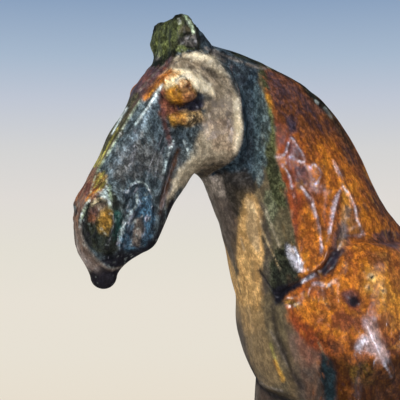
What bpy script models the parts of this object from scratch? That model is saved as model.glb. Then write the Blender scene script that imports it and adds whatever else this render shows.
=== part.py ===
"""A sancai glazed pottery horse with a drooping head, standing on a low slab.

Lengths in the tables are millimetres in the horse's own frame: it faces -X, +Z is up,
y = 0 is its plane of symmetry, and the origin is the middle of the slab's underside.
The horse is built the way a modeller builds it. Lumps of clay are pressed together,
the skin is smoothed over them, and lines are then pressed into the skin or raised on it.
"""

import math
from collections import namedtuple

import bmesh
import bpy
import numpy as np
from mathutils import Matrix, Vector

MM = 0.001

# Driving dimensions of the slab
SLAB_LENGTH = 300.0
SLAB_WIDTH = 136.0
SLAB_HEIGHT = 16.0
SLAB_EDGE = 2.5
CONTACT_GAP = 0.3

# Main heights and lengths of the horse
WITHERS_Z = 302.0
BACK_Z = 293.0
ELBOW_Z = 214.0
KNEE_Z = 118.0
HOCK_Z = 124.0
FETLOCK_Z = 50.0
CHEST_X = -72.0
RUMP_X = 116.0
FORELEG_X = -94.0
HINDLEG_X = 122.0
LEG_Y = 34.0

# How finely the skin is laid
ROUGH_VOXEL = 4.0
SKIN_VOXEL = 2.5
SKIN_TRIANGLES = 8600
MOST_STEP = 6.0
GRADIENT_STEP = 0.2
REACH = 30.0

# A lump runs from one point to another. Each end has a radius in the plane of symmetry and
# a half-width across it. A lump away from y = 0 stands for the pair on the two sides.
Lump = namedtuple("Lump", "start end start_size end_size blend")

# A line is pressed in (depth above 0) or raised (below 0) along points seen from the side.
# It works where the skin is further than `clear` from the plane of symmetry.
Line = namedtuple("Line", "points depth width clear")


def lump(start, end, start_size, end_size=None, blend=8.0):
    return Lump(start, end, start_size, end_size or start_size, blend)


def curve_through(points, pieces):
    """Points on a smooth curve through the given ones, with `pieces` steps between two of them."""
    knots = [np.array(p, float) for p in points]
    knots = [2 * knots[0] - knots[1], *knots, 2 * knots[-1] - knots[-2]]
    made = []
    for before, a, b, after in zip(knots, knots[1:], knots[2:], knots[3:]):
        for step in range(pieces):
            t = step / pieces
            made.append(
                a
                + (b - before) * t / 2
                + (before - 2.5 * a + 2 * b - after / 2) * t**2
                + (1.5 * a - before / 2 - 1.5 * b + after / 2) * t**3
            )
    return [tuple(point.tolist()) for point in (*made, knots[-2])]


def chain(points, sizes, blend=8.0, pieces=1):
    """Lumps end to end along a curve through the points."""
    centres = curve_through(points, pieces)
    widths = curve_through(sizes, pieces)
    ends = zip(centres, centres[1:], widths, widths[1:])
    return [lump(a, b, size_a, size_b, blend) for a, b, size_a, size_b in ends]


def head_lumps():
    skull = chain(
        [(-170, 0, 401), (-175, 0, 386), (-197, 0, 358), (-212, 0, 331), (-217, 0, 316)],
        [(19, 20), (25.5, 21), (20.5, 14), (19.5, 13.5), (21, 14)],
        12,
    )
    lower_jaw = chain(
        [(-166, 0, 364), (-182, 0, 344), (-201, 0, 318)],
        [(10.5, 14), (7, 10), (14, 12)],
        8,
    )
    cheek = [
        lump((-166, 9, 373), (-169, 9, 390), (21, 16), (20.5, 16), 5),
        lump((-166, 9, 398), (-162, 9, 404), (15, 14), (11, 12), 6),
    ]
    brow = [lump((-181, 17, 404), (-172, 18.5, 405), (9, 8.5), (8, 7.5), 5)]
    eye = [lump((-187, 20.5, 392.5), (-181, 21.5, 390.5), (9.5, 9), (9, 8.5), 2)]
    lower_lid = [lump((-189, 18.5, 379), (-178, 19.5, 377.5), (5, 6), (4, 6), 4)]
    nostril = [lump((-226.5, 10, 330), (-223, 11, 312), (9, 8.5), (10.5, 8.5), 7)]
    mouth_pad = [lump((-199, 9, 334), (-203, 10, 313), (8, 7.5), (10.5, 8), 5)]
    lip = [lump((-224, 0, 304), (-222, 0, 290.5), (12, 11), (7.8, 8), 8)]
    return skull + lower_jaw + cheek + brow + eye + lower_lid + nostril + mouth_pad + lip


def ear_and_forelock_lumps():
    ear = chain(
        [(-178, 12, 415), (-179, 13.5, 425), (-181, 13.5, 433)],
        [(8, 7), (7.5, 6.5), (5.5, 5.5)],
        4,
    )
    ear_back = [lump((-171, 10, 424), (-156, 5, 410), (6, 6), (8, 8), 6)]
    forelock = [lump((-180, 0, 431.5), (-183, 0, 412), (6.5, 9), (6, 9), 4)]
    return ear + ear_back + forelock


def neck_lumps():
    core = chain(
        [(-150, 0, 398), (-130, 0, 373), (-104, 0, 340), (-87, 0, 303), (-70, 0, 268)],
        [(20, 17), (34, 22), (42, 27), (48, 33), (56, 43)],
        14,
        2,
    )
    crest = chain(
        [(-155, 0, 408), (-123, 0, 400), (-93, 0, 385), (-68, 0, 356.5), (-45, 0, 319), (-8, 0, 291)],
        [(7, 6), (7, 5.5), (9, 6), (9, 6), (9, 7), (9, 9)],
        14,
        3,
    )
    windpipe = chain(
        [(-142, 0, 352), (-126, 0, 316), (-109.5, 0, 276), (-98.5, 0, 246)],
        [(10, 11), (12, 13), (17, 20), (24, 26)],
        12,
        2,
    )
    return core + crest + windpipe


def body_lumps():
    barrel = chain(
        [(CHEST_X, 0, 246), (-30, 0, 243), (32, 0, 244), (86, 0, 250), (RUMP_X, 0, 255)],
        [(52, 44), (56, 50), (49, 53), (50, 52), (45, 47)],
        16,
        2,
    )
    withers = [lump((-38, 0, WITHERS_Z - 14), (4, 0, BACK_Z - 12), (14, 14), (10, 16), 16)]
    breast = [lump((-98, 13, 262), (-90, 14, 246), (30.5, 24), (29, 25), 7)]
    shoulder = [lump((-66, 29, 280), (-78, 31, 250), (33, 22), (33, 23), 6)]
    haunch = [lump((108, 25, 262), (98, 30, 222), (38, 27), (33, 22), 12)]
    return barrel + withers + breast + shoulder + haunch


def leg_lumps():
    foreleg = chain(
        [
            (FORELEG_X + 10, LEG_Y - 2, ELBOW_Z),
            (FORELEG_X, LEG_Y, KNEE_Z + 48),
            (FORELEG_X - 1, LEG_Y, KNEE_Z),
            (FORELEG_X, LEG_Y, KNEE_Z - 20),
            (FORELEG_X, LEG_Y, FETLOCK_Z + 12),
            (FORELEG_X, LEG_Y, FETLOCK_Z - 4),
            (FORELEG_X - 5, LEG_Y, 33),
            (FORELEG_X - 9, LEG_Y, 13),
        ],
        [(22, 19), (14.5, 13), (12.5, 11.5), (9, 9.5), (8.5, 9), (11, 11), (10.5, 11), (17, 16)],
        8,
    )
    hindleg = chain(
        [
            (100, 34, 214),
            (104, LEG_Y, 172),
            (HINDLEG_X + 4, LEG_Y, HOCK_Z + 6),
            (HINDLEG_X + 2, LEG_Y, HOCK_Z - 22),
            (HINDLEG_X - 2, LEG_Y, FETLOCK_Z + 12),
            (HINDLEG_X - 2, LEG_Y, FETLOCK_Z - 4),
            (HINDLEG_X - 8, LEG_Y, 33),
            (HINDLEG_X - 12, LEG_Y, 13),
        ],
        [(32, 20), (20, 14), (13.5, 11.5), (10, 9.5), (9, 9.5), (11.5, 11), (10.5, 11), (17, 16)],
        8,
    )
    hock = (HINDLEG_X + 9, LEG_Y, HOCK_Z + 14), (HINDLEG_X + 6, LEG_Y, HOCK_Z)
    point_of_hock = [lump(*hock, (7, 7), (9, 8), 8)]
    return foreleg + hindleg + point_of_hock


def tail_lumps():
    return chain(
        [(150, 0, 284), (166, 0, 280), (176, 0, 258), (172, 0, 232), (176, 0, 216)],
        [(10, 10), (9, 9), (9.5, 9), (8, 8), (4, 5)],
        8,
    )


def all_lumps():
    groups = (head_lumps, ear_and_forelock_lumps, neck_lumps, body_lumps, leg_lumps, tail_lumps)
    return [one for group in groups for one in group()]


def all_lines():
    eye_slit = [(-190, 383.5), (-181, 382), (-171, 384.5)]
    ear_hollow = [(-181, 415), (-180, 430)]
    cheek_rim = [(-158, 416), (-148, 408), (-142, 394), (-139.5, 379), (-139, 364), (-144, 352), (-154, 347)]
    mouth = [(-211, 331), (-215, 321), (-219, 311), (-222, 302)]
    cheek_muscle = [(-190, 366), (-196, 350), (-197, 336), (-195, 326)]
    neck_fold = [(-117, 277), (-103, 287), (-93, 296), (-86, 310), (-70, 312), (-44, 309)]
    return [
        Line(eye_slit, 1.8, 2.6, 14),
        Line(ear_hollow, 3.0, 3.6, 16),
        Line(cheek_rim, 4.5, 4.5, 6),
        Line(mouth, 3.0, 2.6, 5),
        Line(cheek_muscle, 1.6, 3.0, 6),
        Line(neck_fold, 3.0, 3.2, 12),
    ]


def distance_to_lump(points, one):
    """About how far each point is outside the lump, in mm. Inside it is negative."""
    start = np.array(one.start, float)
    run = np.array(one.end, float) - start
    along = np.clip((points - start) @ run / max(run @ run, 1e-9), 0, 1)
    offset = points - start - along[:, None] * run
    size = [a + (b - a) * along for a, b in zip(one.start_size, one.end_size)]
    in_plane = offset[:, 0] ** 2 + offset[:, 2] ** 2
    across = offset[:, 1] ** 2
    share = np.sqrt(in_plane / size[0] ** 2 + across / size[1] ** 2)
    slope = np.sqrt(in_plane / size[0] ** 4 + across / size[1] ** 4)
    return share * (share - 1) / np.maximum(slope, 1e-9)


def distance_to_line(flat_points, line_points):
    """How far each point of the side view is from the line, in mm."""
    best = np.full(len(flat_points), np.inf)
    for a, b in zip(line_points, line_points[1:]):
        start = np.array(a, float)
        run = np.array(b, float) - start
        along = np.clip((flat_points - start) @ run / (run @ run), 0, 1)
        gap = flat_points - start - along[:, None] * run
        best = np.minimum(best, np.hypot(gap[:, 0], gap[:, 1]))
    return best


def smooth_step(value, low, high):
    share = np.clip((value - low) / (high - low), 0, 1)
    return share * share * (3 - 2 * share)


def depth_field(points, lumps, lines):
    """The clay's surface is where this is 0. It is below 0 inside the clay."""
    folded = np.abs(points) * (0, 1, 0) + points * (1, 0, 1)
    field = np.full(len(folded), REACH)
    for one in lumps:
        low = np.minimum(one.start, one.end)
        high = np.maximum(one.start, one.end)
        margin = REACH + max(one.start_size + one.end_size)
        near = ((folded > low - margin) & (folded < high + margin)).all(axis=1)
        old = field[near]
        new = distance_to_lump(folded[near], one)
        overlap = np.maximum(one.blend - np.abs(old - new), 0) / one.blend
        field[near] = np.minimum(old, new) - overlap**2 * one.blend / 4
    for line in lines:
        away = distance_to_line(folded[:, [0, 2]], line.points)
        on_side = smooth_step(folded[:, 1], line.clear - 3, line.clear + 3)
        field += line.depth * np.exp(-((away / line.width) ** 2)) * on_side
    return field


def settle(points, lumps, lines, rounds):
    """Moves the points onto the clay's surface."""
    for _ in range(rounds):
        field = depth_field(points, lumps, lines)
        slope = np.empty_like(points)
        for axis in range(3):
            nudged = points.copy()
            nudged[:, axis] += GRADIENT_STEP
            slope[:, axis] = (depth_field(nudged, lumps, lines) - field) / GRADIENT_STEP
        steepness = np.maximum((slope**2).sum(axis=1), 0.25)
        step = -slope * (field / steepness)[:, None]
        length = np.linalg.norm(step, axis=1, keepdims=True)
        points = points + step * np.minimum(1, MOST_STEP / np.maximum(length, 1e-9))
    return points


def linked(name, mesh, collection):
    made = bpy.data.objects.new(name, mesh)
    collection.objects.link(made)
    return made


def remeshed(mesh, voxel, collection):
    """A new mesh of even quads over everything in the old one."""
    carrier = linked("carrier", mesh, collection)
    remesh = carrier.modifiers.new("remesh", "REMESH")
    remesh.mode = "VOXEL"
    remesh.voxel_size = voxel * MM
    bpy.context.view_layer.update()
    evaluated = carrier.evaluated_get(bpy.context.evaluated_depsgraph_get())
    made = bpy.data.meshes.new_from_object(evaluated)
    bpy.data.objects.remove(carrier)
    return made


def beads_mesh(lumps):
    """Each lump as a string of overlapping spheres, on both sides where it is one of a pair."""
    beads = bmesh.new()
    for one in lumps:
        start, end = Vector(one.start), Vector(one.end)
        smallest = min(one.start_size + one.end_size)
        count = 1 + math.ceil((end - start).length / (0.4 * smallest))
        for side in (1, -1) if start.y or end.y else (1,):
            for i in range(count + 1):
                share = i / count
                centre = start.lerp(end, share)
                radius = one.start_size[0] * (1 - share) + one.end_size[0] * share
                width = one.start_size[1] * (1 - share) + one.end_size[1] * share
                place = Matrix.Translation((centre.x * MM, side * centre.y * MM, centre.z * MM))
                shape = Matrix.Diagonal((radius * MM, width * MM, radius * MM, 1))
                bmesh.ops.create_icosphere(beads, subdivisions=2, radius=1, matrix=place @ shape)
    mesh = bpy.data.meshes.new("beads")
    beads.to_mesh(mesh)
    beads.free()
    return mesh


def settled(mesh, lumps, lines, rounds):
    points = np.empty(len(mesh.vertices) * 3, np.float32)
    mesh.vertices.foreach_get("co", points)
    points = settle(points.reshape(-1, 3).astype(float) / MM, lumps, lines, rounds)
    mesh.vertices.foreach_set("co", (points * MM).astype(np.float32).ravel())
    mesh.update()
    return mesh


def clay_skin(lumps, lines, collection):
    """The whole horse as one closed mesh of even quads."""
    rough = remeshed(beads_mesh(lumps), ROUGH_VOXEL, collection)
    rough = settled(rough, lumps, [], 6)
    fine = remeshed(rough, SKIN_VOXEL, collection)
    return settled(fine, lumps, lines, 4)


def glaze(name, colour, roughness):
    material = bpy.data.materials.new(name)
    material.use_nodes = True
    shader = material.node_tree.nodes["Principled BSDF"]
    shader.inputs["Base Color"].default_value = (*colour, 1)
    shader.inputs["Roughness"].default_value = roughness
    shader.inputs["Metallic"].default_value = 0.0
    return material


def block(name, low, high, collection):
    """A box between two corners given in mm."""
    mesh = bpy.data.meshes.new(name)
    shape = bmesh.new()
    centre = [(a + b) / 2 * MM for a, b in zip(low, high)]
    size = [(b - a) * MM for a, b in zip(low, high)]
    place = Matrix.Translation(centre) @ Matrix.Diagonal((*size, 1))
    bmesh.ops.create_cube(shape, size=1, matrix=place)
    shape.to_mesh(mesh)
    shape.free()
    return linked(name, mesh, collection)


def make_slab(parts):
    low = (-SLAB_LENGTH / 2, -SLAB_WIDTH / 2, 0)
    high = (SLAB_LENGTH / 2, SLAB_WIDTH / 2, SLAB_HEIGHT)
    slab = block("base_slab", low, high, parts)
    bevel = slab.modifiers.new("worn edges", "BEVEL")
    bevel.width = SLAB_EDGE * MM
    bevel.segments = 2
    slab.data.materials.append(glaze("bare_clay", (0.62, 0.5, 0.36), 0.85))
    return slab


def make_horse(parts, cutters):
    mesh = clay_skin(all_lumps(), all_lines(), parts)
    horse = linked("horse", mesh, parts)
    mesh.name = "horse"
    decimate = horse.modifiers.new("larger faces where the skin is plain", "DECIMATE")
    decimate.ratio = min(1.0, SKIN_TRIANGLES / (2 * len(mesh.polygons)))
    floor = block("below_the_hooves", (-300, -200, -40), (300, 200, SLAB_HEIGHT + CONTACT_GAP), cutters)
    floor.hide_render = True
    floor.display_type = "WIRE"
    cut = horse.modifiers.new("flat hooves", "BOOLEAN")
    cut.operation = "DIFFERENCE"
    cut.object = floor
    mesh.materials.clear()
    mesh.materials.append(glaze("sancai_glaze", (0.42, 0.18, 0.04), 0.2))
    mesh.shade_smooth()
    return horse


def main():
    for old in list(bpy.data.objects):
        bpy.data.objects.remove(old)
    parts = bpy.data.collections.new("Sancai pottery horse")
    cutters = bpy.data.collections.new("Cutters")
    for collection in (parts, cutters):
        bpy.context.scene.collection.children.link(collection)
    make_slab(parts)
    make_horse(parts, cutters)


main()
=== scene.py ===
"""Looks of a sancai glazed pottery horse with a drooping head, on a low slab.

The horse is modelled as clay is: lumps are pressed together, a fine skin is settled over them,
and then ridges are raised on the skin and grooves pressed into it. The glaze is painted on the
skin in patches and runs, some of which are painted highlights and painted shade, and the shader
adds the mottling that is finer than the mesh.

Lengths in the tables are millimetres in the frame's own axes: the horse faces -X, +Z is up and
y = 0 is its plane of symmetry. What the photograph shows is placed by its pixel (u, v) in the
400 x 400 photograph, counted from the top left. It is cast on to the near side's skin, or read
off it, and the far side repeats it in mirror.
"""

import itertools
import math
from collections import namedtuple

import bmesh
import bpy
import numpy as np
from mathutils import Matrix, Vector
from mathutils.bvhtree import BVHTree


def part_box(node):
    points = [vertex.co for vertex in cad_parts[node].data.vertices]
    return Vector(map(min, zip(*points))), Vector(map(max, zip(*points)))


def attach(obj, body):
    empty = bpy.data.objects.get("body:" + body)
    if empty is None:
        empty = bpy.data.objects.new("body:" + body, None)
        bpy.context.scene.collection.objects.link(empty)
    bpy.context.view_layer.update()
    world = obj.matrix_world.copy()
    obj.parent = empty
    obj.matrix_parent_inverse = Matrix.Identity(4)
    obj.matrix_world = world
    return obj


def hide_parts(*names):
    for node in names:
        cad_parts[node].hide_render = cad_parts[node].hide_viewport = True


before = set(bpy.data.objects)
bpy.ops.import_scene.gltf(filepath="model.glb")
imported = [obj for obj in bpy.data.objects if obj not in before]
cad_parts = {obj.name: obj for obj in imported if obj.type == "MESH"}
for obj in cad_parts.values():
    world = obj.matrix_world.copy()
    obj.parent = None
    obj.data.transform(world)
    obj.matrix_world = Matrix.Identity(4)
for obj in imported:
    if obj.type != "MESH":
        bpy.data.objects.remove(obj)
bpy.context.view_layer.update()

MM = 0.001

# The photograph's camera
PHOTO_SIZE = 400
CAMERA_AZIMUTH = math.radians(-25)
CAMERA_DISTANCE = 560.0
CAMERA_AIM = np.array((-162.0, 0.0, 332.4))
CAMERA_LENS = 86.2
CAMERA_SENSOR = 36.0
CAMERA_BACK = np.array((math.sin(CAMERA_AZIMUTH), -math.cos(CAMERA_AZIMUTH), 0.0))
CAMERA_RIGHT = np.array((math.cos(CAMERA_AZIMUTH), math.sin(CAMERA_AZIMUTH), 0.0))
CAMERA_PLACE = CAMERA_AIM + CAMERA_BACK * CAMERA_DISTANCE
PIXELS_PER_SLOPE = PHOTO_SIZE * CAMERA_LENS / CAMERA_SENSOR

# Main heights and lengths of the horse
HOOF_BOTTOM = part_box("horse")[0][2] / MM
WITHERS_Z = 302.0
BACK_Z = 293.0
ELBOW_Z = 214.0
KNEE_Z = 118.0
HOCK_Z = 124.0
FETLOCK_Z = 50.0
CHEST_X = -72.0
RUMP_X = 116.0
FORELEG_X = -94.0
HINDLEG_X = 122.0
LEG_Y = 34.0

# How finely the skin is laid
ROUGH_VOXEL = 3.2
SKIN_VOXEL = 1.15
MOST_TRIANGLES = 190000
MOST_STEP = 6.0
GRADIENT_STEP = 0.2
REACH = 20.0

# How much of the near side's fine relief the far side repeats
FAR_SIDE_SHARE = 0.5

# A lump runs from one point to another. Each end has a radius in the plane of symmetry and
# a half-width across it. A lump away from y = 0 stands for the pair on the two sides.
Lump = namedtuple("Lump", "start end start_size end_size blend")

# A line is pressed in (depth above 0) along points (x, z) seen from the side.
# It works where the skin is further than `clear` from the plane of symmetry.
Line = namedtuple("Line", "points depth width clear")

# A stroke is raised (height above 0) or pressed in (below 0) along pixels of the photograph.
# The name of a stroke, a patch or a run says what it is.
Stroke = namedtuple("Stroke", "name height width pixels")

# A dent is pressed in round one pixel. Its depth and radius are in mm.
Dent = namedtuple("Dent", "depth radius pixel")

# A patch of glaze inside an outline of pixels. Its edge is `soft` pixels wide and wanders by
# `ragged` pixels. `part` is the part of the horse that it keeps to.
Patch = namedtuple("Patch", "name part colour soft ragged strength pixels")

# A run of glaze along a line of pixels.
Run = namedtuple("Run", "name part colour width ragged strength pixels")

# A soft box of light. Its way is towards it from the horse's head: back, right and up as the
# camera sees them. Its distance and sides are in m.
Lamp = namedtuple("Lamp", "name way distance radiance width height colour")


def lump(start, end, start_size, end_size=None, blend=8.0):
    return Lump(start, end, start_size, end_size or start_size, blend)


def curve_through(points, pieces):
    """Points on a smooth curve through the given ones, with `pieces` steps between two of them."""
    knots = [np.array(p, float) for p in points]
    knots = [2 * knots[0] - knots[1], *knots, 2 * knots[-1] - knots[-2]]
    made = []
    for before, a, b, after in zip(knots, knots[1:], knots[2:], knots[3:]):
        for step in range(pieces):
            t = step / pieces
            made.append(
                a
                + (b - before) * t / 2
                + (before - 2.5 * a + 2 * b - after / 2) * t**2
                + (1.5 * a - before / 2 - 1.5 * b + after / 2) * t**3
            )
    return [tuple(point.tolist()) for point in (*made, knots[-2])]


def chain(points, sizes, blend=8.0, pieces=1):
    """Lumps end to end along a curve through the points."""
    centres = curve_through(points, pieces)
    widths = curve_through(sizes, pieces)
    ends = zip(centres, centres[1:], widths, widths[1:])
    return [lump(a, b, size_a, size_b, blend) for a, b, size_a, size_b in ends]


def head_lumps():
    skull = chain(
        [(-170, 0, 401), (-175, 0, 386), (-196, 0, 358), (-211, 0, 331), (-217, 0, 316)],
        [(19, 20), (26.6, 21), (21.6, 14), (20, 13.5), (20.4, 14)],
        12,
    )
    lower_jaw = chain(
        [(-166, 0, 364), (-182, 0, 344), (-201, 0, 318)],
        [(10.5, 14), (7, 10), (14, 12)],
        8,
    )
    cheek = [
        lump((-166, 9, 373), (-169, 9, 390), (21, 16), (20.5, 16), 5),
        lump((-166, 9, 398), (-162, 9, 404), (15, 14), (11, 12), 6),
    ]
    brow = [lump((-181, 17, 404), (-172, 18.5, 405), (9, 8.5), (8, 7.5), 5)]
    eye = [lump((-187, 20, 393), (-181, 21, 391), (9.5, 9), (9, 8.5), 4)]
    lower_lid = [lump((-189, 18, 379), (-178, 19, 377.5), (5, 6), (4, 6), 7)]
    nostril = [lump((-225, 10, 329.5), (-223, 11, 312), (9, 8.5), (10.5, 8.5), 7)]
    mouth_pad = [lump((-199, 9, 334), (-203.5, 10, 314), (8, 7.5), (10, 8), 5)]
    lip = [lump((-222.5, 0, 304), (-221.5, 0, 290), (11.4, 11), (7.2, 8), 8)]
    return skull + lower_jaw + cheek + brow + eye + lower_lid + nostril + mouth_pad + lip


def ear_and_forelock_lumps():
    ear = chain(
        [(-178, 12, 415), (-179, 13.5, 425), (-179.5, 13.5, 431.5)],
        [(7.8, 7), (7.2, 6.5), (6.0, 5.5)],
        4,
    )
    ear_back = [lump((-170, 10, 424), (-156, 5, 408.5), (6.4, 6), (8, 8), 6)]
    forelock = [lump((-180, 0, 430), (-183, 0, 412), (6.3, 9), (6, 9), 4)]
    return ear + ear_back + forelock


def neck_lumps():
    core = chain(
        [(-150, 0, 398), (-130, 0, 373), (-104, 0, 340), (-87, 0, 303), (-70, 0, 268)],
        [(20, 17), (34, 22), (42, 27), (48, 33), (56, 43)],
        14,
        2,
    )
    crest = chain(
        [(-155, 0, 406), (-123, 0, 398.5), (-93, 0, 385), (-68, 0, 356.5), (-46, 0, 317), (-8, 0, 290)],
        [(7, 6), (7, 5.5), (9, 6), (9, 6), (9, 7), (9, 9)],
        14,
        3,
    )
    windpipe = chain(
        [(-142, 0, 352), (-124.5, 0, 316), (-107.7, 0, 276), (-98, 0, 246)],
        [(10, 11), (12, 13), (17, 20), (24, 26)],
        12,
        2,
    )
    return core + crest + windpipe


def body_lumps():
    barrel = chain(
        [(CHEST_X, 0, 246), (-30, 0, 243), (32, 0, 244), (86, 0, 250), (RUMP_X, 0, 255)],
        [(52, 44), (56, 50), (49, 53), (50, 52), (45, 47)],
        16,
        2,
    )
    withers = [lump((-38, 0, WITHERS_Z - 14), (4, 0, BACK_Z - 12), (14, 14), (10, 16), 16)]
    breast = [lump((-98, 13, 262), (-90, 14, 246), (30.5, 24), (29, 25), 7)]
    shoulder = [lump((-66, 29, 280), (-78, 31, 250), (33, 22), (33, 23), 6)]
    haunch = [lump((108, 25, 262), (98, 30, 222), (38, 27), (33, 22), 12)]
    return barrel + withers + breast + shoulder + haunch


def leg_lumps():
    foreleg = chain(
        [
            (FORELEG_X + 10, LEG_Y - 2, ELBOW_Z),
            (FORELEG_X, LEG_Y, KNEE_Z + 48),
            (FORELEG_X - 1, LEG_Y, KNEE_Z),
            (FORELEG_X, LEG_Y, KNEE_Z - 20),
            (FORELEG_X, LEG_Y, FETLOCK_Z + 12),
            (FORELEG_X, LEG_Y, FETLOCK_Z - 4),
            (FORELEG_X - 5, LEG_Y, 33),
            (FORELEG_X - 9, LEG_Y, 13),
        ],
        [(22, 19), (14.5, 13), (12.5, 11.5), (9, 9.5), (8.5, 9), (11, 11), (10.5, 11), (17, 16)],
        8,
    )
    hindleg = chain(
        [
            (100, 34, 214),
            (104, LEG_Y, 172),
            (HINDLEG_X + 4, LEG_Y, HOCK_Z + 6),
            (HINDLEG_X + 2, LEG_Y, HOCK_Z - 22),
            (HINDLEG_X - 2, LEG_Y, FETLOCK_Z + 12),
            (HINDLEG_X - 2, LEG_Y, FETLOCK_Z - 4),
            (HINDLEG_X - 8, LEG_Y, 33),
            (HINDLEG_X - 12, LEG_Y, 13),
        ],
        [(32, 20), (20, 14), (13.5, 11.5), (10, 9.5), (9, 9.5), (11.5, 11), (10.5, 11), (17, 16)],
        8,
    )
    hock = (HINDLEG_X + 9, LEG_Y, HOCK_Z + 14), (HINDLEG_X + 6, LEG_Y, HOCK_Z)
    point_of_hock = [lump(*hock, (7, 7), (9, 8), 8)]
    return foreleg + hindleg + point_of_hock


def tail_lumps():
    return chain(
        [(150, 0, 284), (166, 0, 280), (176, 0, 258), (172, 0, 232), (176, 0, 216)],
        [(10, 10), (9, 9), (9.5, 9), (8, 8), (4, 5)],
        8,
    )


def all_lumps():
    groups = (head_lumps, ear_and_forelock_lumps, neck_lumps, body_lumps, leg_lumps, tail_lumps)
    return [one for group in groups for one in group()]


def pressed_lines():
    eye_slit = [(-190, 383.5), (-181, 382), (-171, 384.5)]
    ear_hollow = [(-181, 415), (-180, 430)]
    cheek_rim = [(-158, 416), (-148, 408), (-142, 394), (-139.5, 379), (-139, 364), (-144, 352), (-154, 347)]
    mouth = [(-211, 331), (-215, 321), (-219, 311), (-222, 302)]
    cheek_muscle = [(-190, 366), (-196, 350), (-197, 336), (-195, 326)]
    neck_fold = [(-117, 277), (-103, 287), (-93, 296), (-86, 310), (-70, 312), (-44, 309)]
    return [
        Line(eye_slit, 1.8, 2.6, 14),
        Line(ear_hollow, 3.0, 3.6, 16),
        Line(cheek_rim, 4.5, 4.5, 6),
        Line(mouth, 3.0, 2.6, 5),
        Line(cheek_muscle, 1.6, 3.0, 6),
        Line(neck_fold, 2.2, 4.5, 12),
    ]


# Lines of the near side, by their pixels. They steer both the relief and the glaze.
NASAL_EDGE = [
    (146, 88), (140, 100), (125, 124), (110, 150), (97, 172), (88, 201), (80, 222),
    (81, 234), (86, 246), (97, 260), (109, 269), (122, 267), (133, 261),
]
NOSE_SIDE_RIDGE = [(157, 92), (149, 107), (139, 120), (127, 137), (116, 153), (107, 167)]
TEAR_LINE = [(161, 92), (163, 110), (166, 128), (170, 145)]
EYE_SLIT = [(172, 105), (181, 107.5), (190, 107), (198, 101)]
BROW_RIDGE = [(175, 54), (188, 52.5), (199, 55), (208, 60.5), (218, 67), (227, 75.5), (233, 86)]
BROW_FOLD = [(173, 60), (181, 58), (192, 61.5), (203, 67.5), (213, 73), (222, 80.5), (229, 90)]
LID_FOLD = [(176, 67), (190, 68), (201, 75), (210, 84), (215, 94)]
CHEEK_EDGE = [(212, 55), (224, 64), (234, 79), (240, 100), (242, 125), (240, 147), (231, 160), (216, 167)]
JAW_RIDGE = [(175, 138), (169, 156), (165, 169), (162, 180), (158, 198)]
JAW_GROOVE = [(178, 150), (173, 167), (168, 182), (163, 199), (160, 213)]
MOUTH_GROOVE = [(140, 207), (134, 217), (129, 229), (126, 242), (121, 251)]
LIP_EDGE = [(137, 194), (136, 206), (127, 217), (122, 229), (119, 240)]
MOUTH_ARCH = [(127, 191), (132, 184.5), (140, 182), (146, 185), (151, 193), (152, 205), (150, 224)]
NECK_FOLD = [
    (279, 297), (289, 289), (300, 283), (312, 276), (323, 269), (329, 258), (333, 245),
    (339, 237), (351, 236), (366, 240), (385, 241), (402, 238),
]
AMBER_EDGE = [
    (264, 66), (264, 95), (271, 119), (273, 142), (276, 161), (279, 180), (285, 206), (294, 240),
    (305, 264),
]
CREST_EDGE = [(215, 47), (262, 64), (300, 83), (330, 113), (350, 147), (370, 187), (402, 228)]
BREAST_CREASE = [(270, 303), (276, 328), (282, 350), (291, 374)]
SHOULDER_RIDGE = [(362, 318), (370, 333), (377, 349), (384, 364), (390, 375)]
NECK_LIP = [(301, 275), (312, 269.5), (321, 262.5), (326, 253), (328, 243)]
SKIN_FOLDS = [
    [(333, 161), (337, 168), (342, 178), (343, 186), (350, 195), (355, 208), (358, 222), (364, 235)],
    [(342, 187), (337, 197), (334, 208), (332, 220), (329, 233)],
    [(306, 194), (312, 200), (314, 208), (318, 222), (320, 236), (321, 247), (322, 256)],
]
GLAZE_JAGS = [
    [
        (276, 157), (285, 154), (288, 144), (291, 137), (297, 146), (303, 155), (304, 162), (297, 160),
        (290, 157),
    ],
    [(282, 165), (286, 170), (290, 178), (292, 186)],
    [(310, 168), (314, 163), (320, 171), (320, 177), (316, 183)],
    [(298, 186), (304, 190), (308, 198)],
]


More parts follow.
